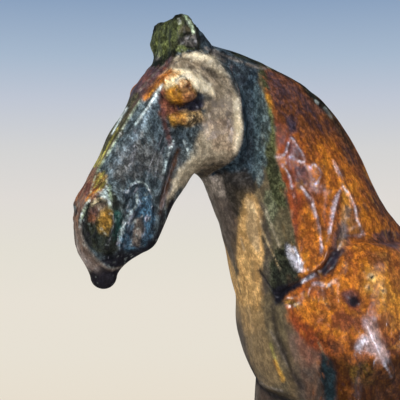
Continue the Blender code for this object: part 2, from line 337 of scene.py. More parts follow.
NOSE_STROKES = [
    Stroke("nasal edge", 1.0, 1.4, NASAL_EDGE),
    Stroke("side ridge of the nose", 1.6, 2.2, NOSE_SIDE_RIDGE),
    Stroke("hollow of the nose side", -1.2, 5.5, [(158, 118), (150, 140), (140, 165), (130, 185)]),
    Stroke("tear line", -0.6, 2.2, TEAR_LINE[1:]),
    Stroke("jaw ridge", 1.0, 1.3, JAW_RIDGE),
    Stroke("jaw groove", -1.6, 2.2, JAW_GROOVE),
    Stroke("swell on the nose side", 0.8, 3.0, [(131, 140), (124, 158), (118, 176)]),
    Stroke("dip beside the swell", -0.7, 3.0, [(142, 130), (138, 150), (132, 172)]),
]
EYE_STROKES = [
    Stroke("eye slit", -2.6, 2.6, EYE_SLIT),
    Stroke("inner corner", -1.2, 2.0, [(158, 92), (161, 98), (165, 104)]),
    Stroke("brow ridge", 2.6, 2.0, BROW_RIDGE),
    Stroke("brow fold", -2.6, 1.8, BROW_FOLD),
    Stroke("outer rim of the lid", 1.3, 2.0, [
        (176, 64.5), (188, 66), (199, 71), (208, 80), (214, 92), (218, 102),
    ]),
    Stroke("lid fold", -1.8, 1.6, LID_FOLD),
    Stroke("front of the lid", 2.4, 3.2, [(158, 94), (162, 86), (168, 79), (176, 75)]),
    Stroke("top of the lid", 1.0, 2.4, [(172, 76), (182, 74), (193, 77), (202, 86)]),
    Stroke("hollow of the outer corner", -0.9, 3.5, [(206, 92), (204, 100), (203, 110)]),
    Stroke("lower lid", 1.6, 2.4, [(166, 112), (175, 118), (185, 120), (196, 115)]),
    Stroke("under the lower lid", -1.0, 2.0, [(167, 127), (180, 130), (193, 127), (200, 120)]),
    Stroke("front brow ridge", 0.9, 2.0, [(148, 98), (157, 87), (166, 77), (174, 70)]),
    Stroke("front brow groove", -0.8, 1.8, [(144, 94), (153, 82), (162, 72), (168, 64)]),
    Stroke("line under the pupil", -1.1, 1.2, [(175, 88), (180, 92), (187, 92), (193, 88)]),
    Stroke("pupil", 1.5, 2.0, [(180, 86), (184, 83), (188, 86)]),
    Stroke("outer corner", -1.2, 3.0, [(198, 94), (204, 97), (208, 99)]),
]
CHEEK_STROKES = [
    Stroke("cheek edge", 0.8, 3.0, CHEEK_EDGE),
    Stroke("groove behind the cheek", -1.6, 5.0, [
        (246, 72), (251, 100), (253, 130), (251, 158), (244, 180),
    ]),
    Stroke("lower cheek ridge", 0.8, 3.0, [(205, 152), (192, 160), (183, 170), (176, 184)]),
    Stroke("hollow before the cheek", -0.8, 3.0, [(199, 136), (188, 148), (180, 160)]),
    Stroke("swell of the cheek", 0.5, 3.5, [(222, 100), (225, 120), (222, 138)]),
    Stroke("scratch under the eye", 0.6, 1.0, [(182, 140), (186, 148), (189, 156)]),
]
MUZZLE_STROKES = [
    Stroke("mouth arch", 1.1, 1.2, MOUTH_ARCH),
    Stroke("hollow in the arch", -0.9, 2.4, [(133, 199), (139, 190), (145, 198)]),
    Stroke("lip edge", 1.1, 1.3, LIP_EDGE),
    Stroke("mouth groove", -2.2, 2.2, MOUTH_GROOVE),
    Stroke("back of the mouth pad", -0.8, 1.8, [(154, 205), (155, 222), (150, 240)]),
    Stroke("swell of the mouth pad", 0.7, 2.2, [(143, 212), (144, 226), (141, 242)]),
    Stroke("nostril", -2.4, 3.0, [(90, 212), (88, 222), (92, 236)]),
    Stroke("nostril rim", 1.1, 1.2, [
        (81, 226), (82, 214), (86, 206), (91, 201), (98, 198), (105, 198), (110, 203),
    ]),
    Stroke("back rim of the nostril", 0.8, 1.6, [(111, 210), (113, 222), (109, 236)]),
    Stroke("nick in the nostril", -0.8, 1.2, [(96, 208), (97, 214), (93, 220)]),
    Stroke("wrinkle over the nostril", 0.6, 1.6, [(100, 184), (97, 190), (92, 196)]),
    Stroke("groove behind the nostril", -0.9, 2.0, [(116, 206), (120, 220), (116, 240)]),
    Stroke("upper lip", 0.6, 2.4, [(98, 244), (110, 250), (122, 246)]),
]
EAR_STROKES = [
    Stroke("ear hollow", -2.4, 3.0, [(190, 33), (188, 42)]),
    Stroke("front rim", 0.9, 1.3, [(176, 46), (178, 36), (182, 26), (187, 20)]),
    Stroke("back rim", 1.0, 1.4, [(188, 17), (194, 27), (197, 37), (197, 46)]),
    Stroke("lower rim", 0.8, 1.3, [(197, 47), (188, 50), (176, 50)]),
    Stroke("groove between the ears", -0.7, 1.2, [(170, 50), (168, 38), (171, 26)]),
    Stroke("ridge between the ears", 0.6, 1.2, [(174, 48), (172, 36), (176, 22)]),
    Stroke("ridge on the poll", 0.8, 1.6, [(206, 48), (218, 55), (230, 64)]),
    Stroke("groove on the poll", -0.8, 1.4, [(208, 52), (220, 60), (231, 70)]),
]
NECK_STROKES = [
    Stroke("edge of the amber", 0.5, 3.0, AMBER_EDGE),
    Stroke("valley between the folds", -1.0, 4.5, [(325, 190), (326, 212), (328, 236)]),
    Stroke("windpipe", 0.8, 4.0, [(252, 198), (256, 220), (252, 252), (251, 290), (254, 330)]),
    Stroke("seam beside the windpipe", 0.9, 1.2, [
        (250, 203), (257, 214), (261, 228), (270, 248), (280, 270),
    ]),
    Stroke("groove beside the seam", -0.7, 2.4, [(258, 236), (264, 256), (270, 270)]),
    Stroke("throat latch", -1.2, 4.0, [(236, 186), (232, 204), (237, 226)]),
    Stroke("front edge of the throat", 0.8, 2.0, [(215, 190), (224, 212), (231, 236), (235, 262)]),
    Stroke("crack to the fold", -1.1, 1.0, [(259, 270), (264, 277), (270, 286), (275, 294)]),
    Stroke("lip of the mane", 0.8, 1.2, [(244, 65), (258, 68), (270, 66)]),
    *[Stroke("skin fold", 1.5, 2.0, fold) for fold in SKIN_FOLDS],
    *[Stroke("glaze jag", 0.9, 1.1, jag) for jag in GLAZE_JAGS],
    Stroke("hollow inside the folds", -0.9, 3.5, [(345, 204), (347, 220), (348, 234)]),
    Stroke("hollow under the jags", -0.7, 3.0, [(296, 166), (300, 174), (302, 182)]),
    Stroke("top of the first fold", 0.6, 1.6, [(332, 158), (336, 168)]),
    Stroke("swell over the fold", 0.9, 3.0, [(286, 250), (294, 258), (300, 268)]),
    Stroke("ridge of the swell", 0.7, 1.3, [(291, 250), (296, 258), (300, 266)]),
]
SHOULDER_STROKES = [
    Stroke("front of the neck fold", -1.7, 1.5, NECK_FOLD[:5]),
    Stroke("back of the neck fold", -1.2, 2.2, NECK_FOLD[7:]),
    Stroke("pocket", -2.4, 4.0, [(318, 276), (326, 268), (332, 259), (335, 249)]),
    Stroke("hollow over the pocket", -1.4, 6.0, [(333, 256), (339, 244), (343, 228), (344, 214)]),
    Stroke("lip of the neck", 1.8, 1.6, NECK_LIP),
    Stroke("breast crease", -1.8, 3.0, BREAST_CREASE),
    Stroke("ridge beside the crease", 0.9, 1.6, [(271, 318), (278, 338), (287, 360), (298, 384)]),
    Stroke("shoulder ridge", 1.5, 3.0, SHOULDER_RIDGE),
    Stroke("swell under the ridge", 2.2, 7.0, [(366, 366), (380, 370), (396, 376)]),
    Stroke("spur of the ridge", 0.6, 1.6, [(359, 340), (364, 348)]),
    Stroke("scratch on the shoulder", 0.6, 1.1, [(317, 342), (322, 352), (328, 362)]),
    Stroke("ridge down the breast", 0.5, 1.2, [(270, 346), (276, 362), (283, 380)]),
    Stroke("undercut of the breast", -2.6, 4.0, [(263, 393), (276, 398), (292, 404)]),
    Stroke("lower rim of the breast", 0.8, 1.6, [(262, 383), (270, 387), (283, 391), (296, 396)]),
    Stroke("hollow before the shoulder", -1.0, 4.0, [(350, 330), (343, 345), (330, 356)]),
]
STROKES = [
    *NOSE_STROKES, *EYE_STROKES, *CHEEK_STROKES, *MUZZLE_STROKES,
    *EAR_STROKES, *NECK_STROKES, *SHOULDER_STROKES,
]


# The small dents: the end of the neck's fold, one on the shoulder, and the pits behind it
FOLD_END = Dent(3.2, 3.0, (279, 297))
SHOULDER_DENT = Dent(2.4, 3.6, (354, 302))
PITS = [Dent(1.3, 1.2, pixel) for pixel in ((372, 277), (369, 288), (383, 291))]


def distance_to_lump(points, one):
    """About how far each point is outside the lump, in mm. Inside it is negative."""
    start = np.array(one.start, float)
    run = np.array(one.end, float) - start
    along = np.clip((points - start) @ run / max(run @ run, 1e-9), 0, 1)
    offset = points - start - along[:, None] * run
    size = [a + (b - a) * along for a, b in zip(one.start_size, one.end_size)]
    in_plane = offset[:, 0] ** 2 + offset[:, 2] ** 2
    across = offset[:, 1] ** 2
    share = np.sqrt(in_plane / size[0] ** 2 + across / size[1] ** 2)
    slope = np.sqrt(in_plane / size[0] ** 4 + across / size[1] ** 4)
    return share * (share - 1) / np.maximum(slope, 1e-9)


def distance_along(points, line_points):
    """How far each point is from the line, and how far along the line the nearest place is."""
    best = np.full(len(points), np.inf)
    place = np.zeros(len(points))
    lengths = [math.dist(a, b) for a, b in zip(line_points, line_points[1:])]
    done = 0.0
    for a, b, length in zip(line_points, line_points[1:], lengths):
        start = np.array(a, float)
        run = np.array(b, float) - start
        along = np.clip((points - start) @ run / max(run @ run, 1e-9), 0, 1)
        gap = np.linalg.norm(points - start - along[:, None] * run, axis=1)
        nearer = gap < best
        best[nearer] = gap[nearer]
        place[nearer] = done + along[nearer] * length
        done += length
    return best, place / max(sum(lengths), 1e-9)


def smooth_step(value, low, high):
    share = np.clip((value - low) / (high - low), 0, 1)
    return share * share * (3 - 2 * share)


def fold_over(points):
    """The same points on the near side, y below 0."""
    return points * (1, 0, 1) - np.abs(points) * (0, 1, 0)


def depth_field(points, lumps, lines):
    """The clay's surface is where this is 0. It is below 0 inside the clay."""
    folded = -fold_over(points) * (0, 1, 0) + points * (1, 0, 1)
    field = np.full(len(folded), REACH)
    for one in lumps:
        low = np.minimum(one.start, one.end)
        high = np.maximum(one.start, one.end)
        margin = REACH + max(one.start_size + one.end_size)
        near = ((folded > low - margin) & (folded < high + margin)).all(axis=1)
        old = field[near]
        new = distance_to_lump(folded[near], one)
        overlap = np.maximum(one.blend - np.abs(old - new), 0) / one.blend
        field[near] = np.minimum(old, new) - overlap**2 * one.blend / 4
    for line in lines:
        away, _ = distance_along(folded[:, [0, 2]], line.points)
        on_side = smooth_step(folded[:, 1], line.clear - 3, line.clear + 3)
        field += line.depth * np.exp(-((away / line.width) ** 2)) * on_side
    return field


def settle(points, lumps, rounds):
    """Moves the points onto the clay's surface, downhill in the field."""
    for _ in range(rounds):
        field = depth_field(points, lumps, [])
        slope = np.empty_like(points)
        for axis in range(3):
            nudged = points.copy()
            nudged[:, axis] += GRADIENT_STEP
            slope[:, axis] = (depth_field(nudged, lumps, []) - field) / GRADIENT_STEP
        steepness = np.maximum((slope**2).sum(axis=1), 0.25)
        step = -slope * (field / steepness)[:, None]
        length = np.linalg.norm(step, axis=1, keepdims=True)
        points = points + step * np.minimum(1, MOST_STEP / np.maximum(length, 1e-9))
    return points


def points_of(mesh):
    flat = np.empty(len(mesh.vertices) * 3, np.float32)
    mesh.vertices.foreach_get("co", flat)
    return flat.reshape(-1, 3).astype(float) / MM


def normals_of(mesh):
    flat = np.empty(len(mesh.vertices) * 3, np.float32)
    mesh.vertex_normals.foreach_get("vector", flat)
    return flat.reshape(-1, 3).astype(float)


def move_points(mesh, points):
    mesh.vertices.foreach_set("co", (points * MM).astype(np.float32).ravel())
    mesh.update()


def linked(name, data):
    made = bpy.data.objects.new(name, data)
    bpy.context.scene.collection.objects.link(made)
    return made


def with_modifier(mesh, kind, weights=None, **settings):
    """A new mesh: the old one after the modifier. The old one is used up."""
    carrier = linked("carrier", mesh)
    if weights is not None:
        held = carrier.vertex_groups.new(name="held")
        for level in np.unique(weights):
            held.add(np.flatnonzero(weights == level).tolist(), float(level), "REPLACE")
        settings["vertex_group"] = "held"
    modifier = carrier.modifiers.new("shape", kind)
    for key, value in settings.items():
        setattr(modifier, key, value)
    bpy.context.view_layer.update()
    evaluated = carrier.evaluated_get(bpy.context.evaluated_depsgraph_get())
    made = bpy.data.meshes.new_from_object(evaluated)
    bpy.data.objects.remove(carrier)
    bpy.data.meshes.remove(mesh)
    return made


def beads_mesh(lumps):
    """Each lump as a string of overlapping spheres, on both sides where it is one of a pair."""
    beads = bmesh.new()
    for one in lumps:
        start, end = Vector(one.start), Vector(one.end)
        smallest = min(one.start_size + one.end_size)
        count = 1 + math.ceil((end - start).length / (0.4 * smallest))
        for side in (1, -1) if start.y or end.y else (1,):
            for i in range(count + 1):
                share = i / count
                centre = start.lerp(end, share)
                radius = one.start_size[0] * (1 - share) + one.end_size[0] * share
                width = one.start_size[1] * (1 - share) + one.end_size[1] * share
                place = Matrix.Translation((centre.x * MM, side * centre.y * MM, centre.z * MM))
                shape = Matrix.Diagonal((radius * MM, width * MM, radius * MM, 1))
                bmesh.ops.create_icosphere(beads, subdivisions=2, radius=1, matrix=place @ shape)
    mesh = bpy.data.meshes.new("beads")
    beads.to_mesh(mesh)
    beads.free()
    return mesh


def clay_skin():
    """The whole horse as one closed mesh, evenly fine."""
    lumps, lines = all_lumps(), pressed_lines()
    rough = with_modifier(beads_mesh(lumps), "REMESH", mode="VOXEL", voxel_size=ROUGH_VOXEL * MM)
    move_points(rough, settle(points_of(rough), lumps, 5))
    fine = with_modifier(rough, "REMESH", mode="VOXEL", voxel_size=SKIN_VOXEL * MM)
    for _ in range(4):
        points = points_of(fine)
        step = np.clip(depth_field(points, lumps, lines), -2, 2)
        move_points(fine, points - normals_of(fine) * step[:, None])
    return fine


def lattice_noise(points, size, seed):
    """Smooth noise from -1 to 1, with lumps about `size` mm across."""
    place = points / size
    cell = np.floor(place).astype(np.int64)
    share = smooth_step(place - cell, 0, 1)
    total = np.zeros(len(points))
    for corner in itertools.product((0, 1), repeat=3):
        key = (cell + corner) @ np.array((73856093, 19349663, 83492791)) + seed * 2654435761
        key = ((key ^ (key >> 13)) * 1274126177) & 0x7FFFFFFF
        value = ((key ^ (key >> 15)) & 0xFFFF) / 32767.5 - 1
        total += value * np.prod(np.where(corner, share, 1 - share), axis=1)
    return total


def cloudy_noise(points, size, seed):
    """Noise in three sizes, from about -1 to 1."""
    layers = [lattice_noise(points, size / 2**i, seed + 7 * i) / 1.7**i for i in range(3)]
    return sum(layers) / 1.3


def to_pixels(points):
    """Where the near side's points stand in the photograph."""
    away = points - CAMERA_PLACE
    depth = -(away @ CAMERA_BACK)
    u = PHOTO_SIZE / 2 + PIXELS_PER_SLOPE * (away @ CAMERA_RIGHT) / depth
    v = PHOTO_SIZE / 2 - PIXELS_PER_SLOPE * away[:, 2] / depth
    return np.stack((u, v), axis=1)


def cast_on(tree, pixel):
    """The point of the skin that the photograph shows at the pixel, in mm, or None."""
    slope = (np.array(pixel) - PHOTO_SIZE / 2) / PIXELS_PER_SLOPE
    way = -CAMERA_BACK + CAMERA_RIGHT * slope[0] - np.array((0, 0, 1)) * slope[1]
    hit, _, _, _ = tree.ray_cast(Vector(CAMERA_PLACE * MM), Vector(way).normalized())
    return None if hit is None else np.array(hit) / MM


def relief(mesh):
    """How far each point of the skin is raised, in mm, by the strokes and the dents."""
    tree = BVHTree.FromPolygons(
        [v.co for v in mesh.vertices], [tuple(p.vertices) for p in mesh.polygons]
    )
    points = fold_over(points_of(mesh))
    raised = np.zeros(len(points))
    for stroke in STROKES:
        hits = [cast_on(tree, pixel) for pixel in curve_through(stroke.pixels, 4)]
        path = [tuple(hit) for hit in hits if hit is not None]
        low, high = np.min(path, axis=0), np.max(path, axis=0)
        margin = 3 * stroke.width
        near = ((points > low - margin) & (points < high + margin)).all(axis=1)
        away, along = distance_along(points[near], path)
        ends = smooth_step(along, -0.02, 0.14) * smooth_step(1 - along, -0.02, 0.14)
        raised[near] += stroke.height * np.exp(-((away / stroke.width) ** 2)) * ends
    for dent in (FOLD_END, SHOULDER_DENT, *PITS):
        away = np.linalg.norm(points - cast_on(tree, dent.pixel), axis=1)
        raised -= dent.depth * np.exp(-((away / dent.radius) ** 2))
    on_far_side = smooth_step(points_of(mesh)[:, 1], 2, 8)
    return raised * (1 - (1 - FAR_SIDE_SHARE) * on_far_side)


def uneven(points):
    """The slight waves that hands and a running glaze leave."""
    stretched = points * (1, 1, 0.6)
    rough_ear = smooth_step(points[:, 2], 412, 420) * smooth_step(-points[:, 0], 162, 170)
    crust = 0.9 * cloudy_noise(points, 4.0, 9) * rough_ear
    return 0.4 * lattice_noise(stretched, 15, 3) + 0.2 * lattice_noise(stretched, 6.0, 5) + crust


def signed_distance(pixels, outline):
    """How far inside the outline each pixel is. Outside it is negative."""
    closed = [*outline, outline[0]]
    away, _ = distance_along(pixels, closed)
    inside = np.zeros(len(pixels), bool)
    for (u1, v1), (u2, v2) in zip(closed, closed[1:]):
        if v1 == v2:
            continue
        crosses = (pixels[:, 1] < v1) != (pixels[:, 1] < v2)
        inside ^= crosses & (pixels[:, 0] < (u2 - u1) * (pixels[:, 1] - v1) / (v2 - v1) + u1)
    return np.where(inside, away, -away)


# A glaze: its colour and the colour that mottles it (linear), how strongly that mottles it,
# its gloss, and how strongly its light and dark flecks show.
Glaze = namedtuple("Glaze", "colour second rich gloss fleck")

AMBER = Glaze((0.33, 0.104, 0.012), (0.10, 0.028, 0.012), 0.8, 1.0, 0.6)
BRIGHT_AMBER = Glaze((0.46, 0.160, 0.014), (0.20, 0.052, 0.010), 0.8, 1.0, 0.6)
GOLD = Glaze((0.50, 0.235, 0.028), (0.22, 0.075, 0.010), 0.8, 1.0, 0.6)
OCHRE = Glaze((0.25, 0.145, 0.026), (0.07, 0.050, 0.018), 0.8, 0.4, 0.9)
RED_BROWN = Glaze((0.235, 0.044, 0.012), (0.11, 0.022, 0.010), 0.7, 1.0, 0.4)
DULL_RED = Glaze((0.20, 0.050, 0.020), (0.10, 0.026, 0.016), 0.7, 0.2, 0.5)
PLUM = Glaze((0.070, 0.028, 0.030), (0.19, 0.055, 0.026), 0.6, 0.1, 0.6)
PURPLE_BROWN = Glaze((0.042, 0.020, 0.020), (0.19, 0.062, 0.012), 0.7, 0.8, 0.7)
RED_PLUM = Glaze((0.21, 0.075, 0.028), (0.075, 0.034, 0.036), 0.9, 0.1, 0.9)
SPECKLED = Glaze((0.30, 0.21, 0.105), (0.045, 0.034, 0.022), 0.9, 0.15, 0.9)
# Ice is painted highlight, mostly: thin pale lines on the nose's ridges, the jaw ridge and the muzzle's
# rims.
ICE = Glaze((0.74, 0.84, 0.84), (0.30, 0.44, 0.46), 0.6, 0.3, 0.6)
MOTTLED_AMBER = Glaze((0.27, 0.085, 0.012), (0.036, 0.015, 0.011), 0.95, 0.8, 0.8)
PURPLE_GREY = Glaze((0.060, 0.040, 0.050), (0.13, 0.050, 0.034), 0.6, 0.9, 0.6)
DARK_BROWN = Glaze((0.026, 0.007, 0.001), (0.060, 0.020, 0.002), 0.8, 0.25, 0.6)
MOSSY_BROWN = Glaze((0.080, 0.046, 0.007), (0.030, 0.011, 0.002), 0.8, 0.25, 0.9)
CREAM = Glaze((0.52, 0.46, 0.33), (0.30, 0.245, 0.16), 0.7, 0.15, 0.45)
PALE_CREAM = Glaze((0.80, 0.73, 0.55), (0.60, 0.47, 0.26), 0.5, 0.4, 0.3)
BUTTER = Glaze((0.86, 0.72, 0.43), (0.52, 0.25, 0.05), 0.8, 0.9, 0.7)
GREY_BEIGE = Glaze((0.24, 0.195, 0.134), (0.125, 0.096, 0.064), 0.75, 0.1, 0.5)
DUSTY_BROWN = Glaze((0.135, 0.100, 0.070), (0.060, 0.050, 0.045), 0.7, 0.1, 0.8)
SHADED_BROWN = Glaze((0.050, 0.036, 0.022), (0.025, 0.018, 0.012), 0.6, 0.3, 0.5)
# Near-black painted as the shadow under the jaw.
SHADOW_BLACK = Glaze((0.018, 0.016, 0.014), (0.035, 0.030, 0.026), 0.6, 0.4, 0.6)
# A dusky brown: painted shade beside the windpipe and down the gullet, and the darker brown low on the
# breast and on its far side.
DUSK = Glaze((0.066, 0.050, 0.040), (0.036, 0.030, 0.026), 0.5, 0.6, 0.4)
SLATE = Glaze((0.082, 0.108, 0.118), (0.026, 0.038, 0.044), 0.75, 0.12, 1.0)
NIGHT_SLATE = Glaze((0.032, 0.047, 0.058), (0.013, 0.020, 0.028), 0.7, 0.12, 1.0)
DUSTY_TEAL = Glaze((0.070, 0.098, 0.104), (0.018, 0.032, 0.038), 0.9, 0.3, 0.9)
# Frost is speckled on the muzzle, and painted as highlights: glints on the crest and pale lines on the rims
# of the mouth and the nostril.
FROST = Glaze((0.38, 0.44, 0.42), (0.14, 0.18, 0.17), 0.6, 0.9, 0.8)
# Sky is the bluish sheen painted along the nose's side: partly the glaze's own blue, partly painted
# highlight.
SKY = Glaze((0.38, 0.49, 0.57), (0.14, 0.22, 0.29), 0.7, 1.0, 0.8)
# Lilac white is painted highlight: gleams along the near side's folds, rims and edges.
LILAC_HIGHLIGHT = Glaze((0.66, 0.68, 0.78), (0.20, 0.22, 0.28), 0.8, 1.0, 0.8)
NAVY = Glaze((0.012, 0.023, 0.034), (0.036, 0.056, 0.068), 0.7, 0.3, 0.9)
TEAL = Glaze((0.008, 0.019, 0.024), (0.004, 0.006, 0.008), 0.7, 0.15, 0.6)
LOBE_BLUE = Glaze((0.027, 0.070, 0.112), (0.008, 0.015, 0.026), 0.9, 0.5, 1.2)
INK = Glaze((0.006, 0.006, 0.010), (0.012, 0.011, 0.016), 0.6, 0.1, 0.5)
FOREST = Glaze((0.032, 0.037, 0.016), (0.066, 0.072, 0.032), 0.7, 0.4, 0.9)
DARK_GREEN = Glaze((0.007, 0.009, 0.006), (0.027, 0.030, 0.016), 0.6, 0.4, 1.1)
GREY_GREEN = Glaze((0.092, 0.100, 0.058), (0.046, 0.052, 0.030), 0.7, 0.4, 0.8)
MOSS = Glaze((0.150, 0.175, 0.055), (0.040, 0.052, 0.020), 0.9, 0.6, 1.0)
LEAF = Glaze((0.42, 0.51, 0.36), (0.13, 0.19, 0.10), 0.8, 0.8, 0.8)
YELLOW_GREEN = Glaze((0.50, 0.46, 0.10), (0.20, 0.18, 0.04), 0.8, 0.5, 0.7)
OLIVE = Glaze((0.110, 0.086, 0.048), (0.062, 0.048, 0.032), 0.6, 0.4, 0.4)
TAN = Glaze((0.54, 0.33, 0.125), (0.30, 0.165, 0.055), 0.6, 0.4, 0.5)
DULL_TAN = Glaze((0.205, 0.140, 0.066), (0.125, 0.086, 0.044), 0.45, 0.6, 0.4)
LILAC_GREY = Glaze((0.20, 0.172, 0.145), (0.11, 0.090, 0.076), 0.6, 0.4, 0.6)
LILAC_BROWN = Glaze((0.125, 0.083, 0.062), (0.072, 0.050, 0.038), 0.4, 0.4, 0.4)
TEAL_GREEN = Glaze((0.020, 0.085, 0.070), (0.010, 0.030, 0.030), 0.8, 0.4, 1.0)
PINK_GREY = Glaze((0.30, 0.25, 0.225), (0.17, 0.125, 0.105), 0.6, 0.5, 0.5)
RUST = Glaze((0.28, 0.120, 0.045), (0.13, 0.048, 0.028), 0.7, 0.7, 0.7)
EAR_LILAC = Glaze((0.125, 0.115, 0.104), (0.042, 0.042, 0.038), 0.8, 0.4, 0.9)
HONEY = Glaze((0.74, 0.42, 0.060), (0.42, 0.17, 0.020), 0.7, 0.3, 0.5)
# Sheen is painted highlight: the broad whitish gleams on the near side of the neck and shoulder.
PAINTED_SHEEN = Glaze((0.66, 0.66, 0.76), (0.40, 0.38, 0.46), 0.6, 0.8, 0.4)
INDIGO = Glaze((0.015, 0.016, 0.032), (0.006, 0.006, 0.011), 0.7, 0.3, 0.7)
MAROON = Glaze((0.145, 0.038, 0.016), (0.080, 0.024, 0.014), 0.6, 0.4, 0.5)
SHADOWED_AMBER = Glaze((0.16, 0.046, 0.008), (0.045, 0.014, 0.008), 0.9, 0.4, 0.8)

# The parts of the horse that a patch or a run keeps to
ALL = "all"
HEAD = "head"
NECK = "neck"
NEAR_NECK = "near side of the neck"

NOSE_STRIP = [*NASAL_EDGE, (133, 300), (60, 300), (50, 180), (95, 90), (140, 55), (150, 62), (152, 80)]


NECK_PATCHES = [
    Patch("under the crown", NECK, MOTTLED_AMBER, 16, 8, 0.7, [
        (290, 112), (330, 116), (352, 146), (336, 158), (316, 150), (296, 136),
    ]),
    Patch("crown", NECK, PURPLE_BROWN, 16, 10, 0.95, [
        (258, 58), (300, 76), (335, 110), (352, 140), (342, 140), (326, 132), (306, 128), (290, 128),
        (276, 120), (266, 96),
    ]),
    Patch("heart of the crown", NECK, PURPLE_GREY, 9, 8, 0.5, [
        (262, 70), (290, 76), (318, 98), (330, 112), (318, 116), (300, 108), (284, 110), (272, 104),
    ]),
    Patch("red front", NECK, RED_BROWN, 14, 7, 0.85, [
        (266, 120), (282, 128), (292, 142), (300, 164), (306, 190), (305, 214), (299, 240), (292, 236),
        (284, 206), (276, 165),
    ]),
    Patch("top of the red front", NECK, DULL_RED, 6, 4, 0.8, [
        (268, 122), (280, 122), (287, 136), (284, 152), (275, 152),
    ]),
    Patch("bright back", NECK, BRIGHT_AMBER, 14, 8, 0.7, [
        (316, 142), (334, 142), (350, 160), (362, 186), (376, 214), (388, 236), (362, 238), (352, 212),
        (344, 200), (338, 216), (330, 236), (322, 200), (316, 170),
    ]),
    Patch("bright front", NECK, BRIGHT_AMBER, 8, 4, 0.9, [
        (301, 210), (312, 206), (318, 222), (320, 250), (313, 268), (304, 268), (298, 240),
    ]),
    Patch("wing of gold", NECK, GOLD, 7, 5, 0.6, [
        (343, 192), (349, 198), (356, 216), (361, 234), (346, 234), (338, 224), (337, 206),
    ]),
    Patch("along the mane", NECK, MOTTLED_AMBER, 9, 6, 0.85, [
        (296, 84), (318, 104), (336, 126), (350, 150), (366, 180), (382, 212), (400, 236), (420, 230),
        (380, 180), (350, 130), (320, 90),
    ]),
    Patch("blotch over the jags", NECK, PURPLE_GREY, 5, 3, 0.9, [
        (286, 116), (295, 118), (298, 132), (290, 136),
    ]),
    Patch("heart of the blotch", NECK, INDIGO, 4, 3, 0.6, [
        (288, 119), (294, 120), (296, 131), (290, 133),
    ]),
    Patch("inside the first jag", NECK, PURPLE_GREY, 5, 3, 0.7, [
        (287, 142), (300, 149), (303, 160), (290, 158),
    ]),
    Patch("inside the second jag", NECK, PURPLE_GREY, 6, 3, 0.9, [
        (294, 164), (305, 167), (309, 182), (301, 190), (295, 180),
    ]),
    Patch("top of the front fold", NECK, PURPLE_GREY, 5, 3, 0.7, [
        (305, 190), (313, 192), (315, 208), (309, 213),
    ]),
    Patch("valley", NECK, PURPLE_GREY, 7, 4, 0.15, [
        (331, 196), (338, 194), (340, 212), (341, 226), (338, 240), (329, 240), (329, 214),
    ]),
    Patch("upper blotch on the mane", NECK, PURPLE_BROWN, 6, 3, 0.85, [
        (340, 142), (350, 150), (358, 164), (350, 166), (342, 154),
    ]),
    Patch("lower blotch on the mane", NECK, PURPLE_BROWN, 6, 3, 0.85, [
        (366, 178), (375, 186), (385, 206), (382, 216), (372, 206),
    ]),
    Patch("blotch at the withers", NECK, PURPLE_GREY, 5, 4, 0.9, [
        (370, 234), (386, 231), (410, 234), (410, 248), (386, 247), (373, 243),
    ]),
    # The pocket under the fold is painted shade: grey, deepening to near-black and blue.
    Patch("pocket", NECK, PURPLE_GREY, 8, 4, 0.9, [
        (320, 274), (327, 262), (331, 250), (333, 238), (340, 218), (349, 224), (350, 240), (343, 254),
        (334, 268), (322, 277),
    ]),
    Patch("depth of the pocket", NECK, INK, 6, 4, 0.9, [
        (306, 279), (316, 272), (324, 264), (330, 254), (335, 247), (343, 250), (341, 262), (331, 273),
        (318, 279),
    ]),
    Patch("blue of the pocket", NECK, INDIGO, 5, 4, 0.6, [
        (318, 274), (328, 262), (334, 252), (339, 254), (336, 264), (326, 273),
    ]),
]


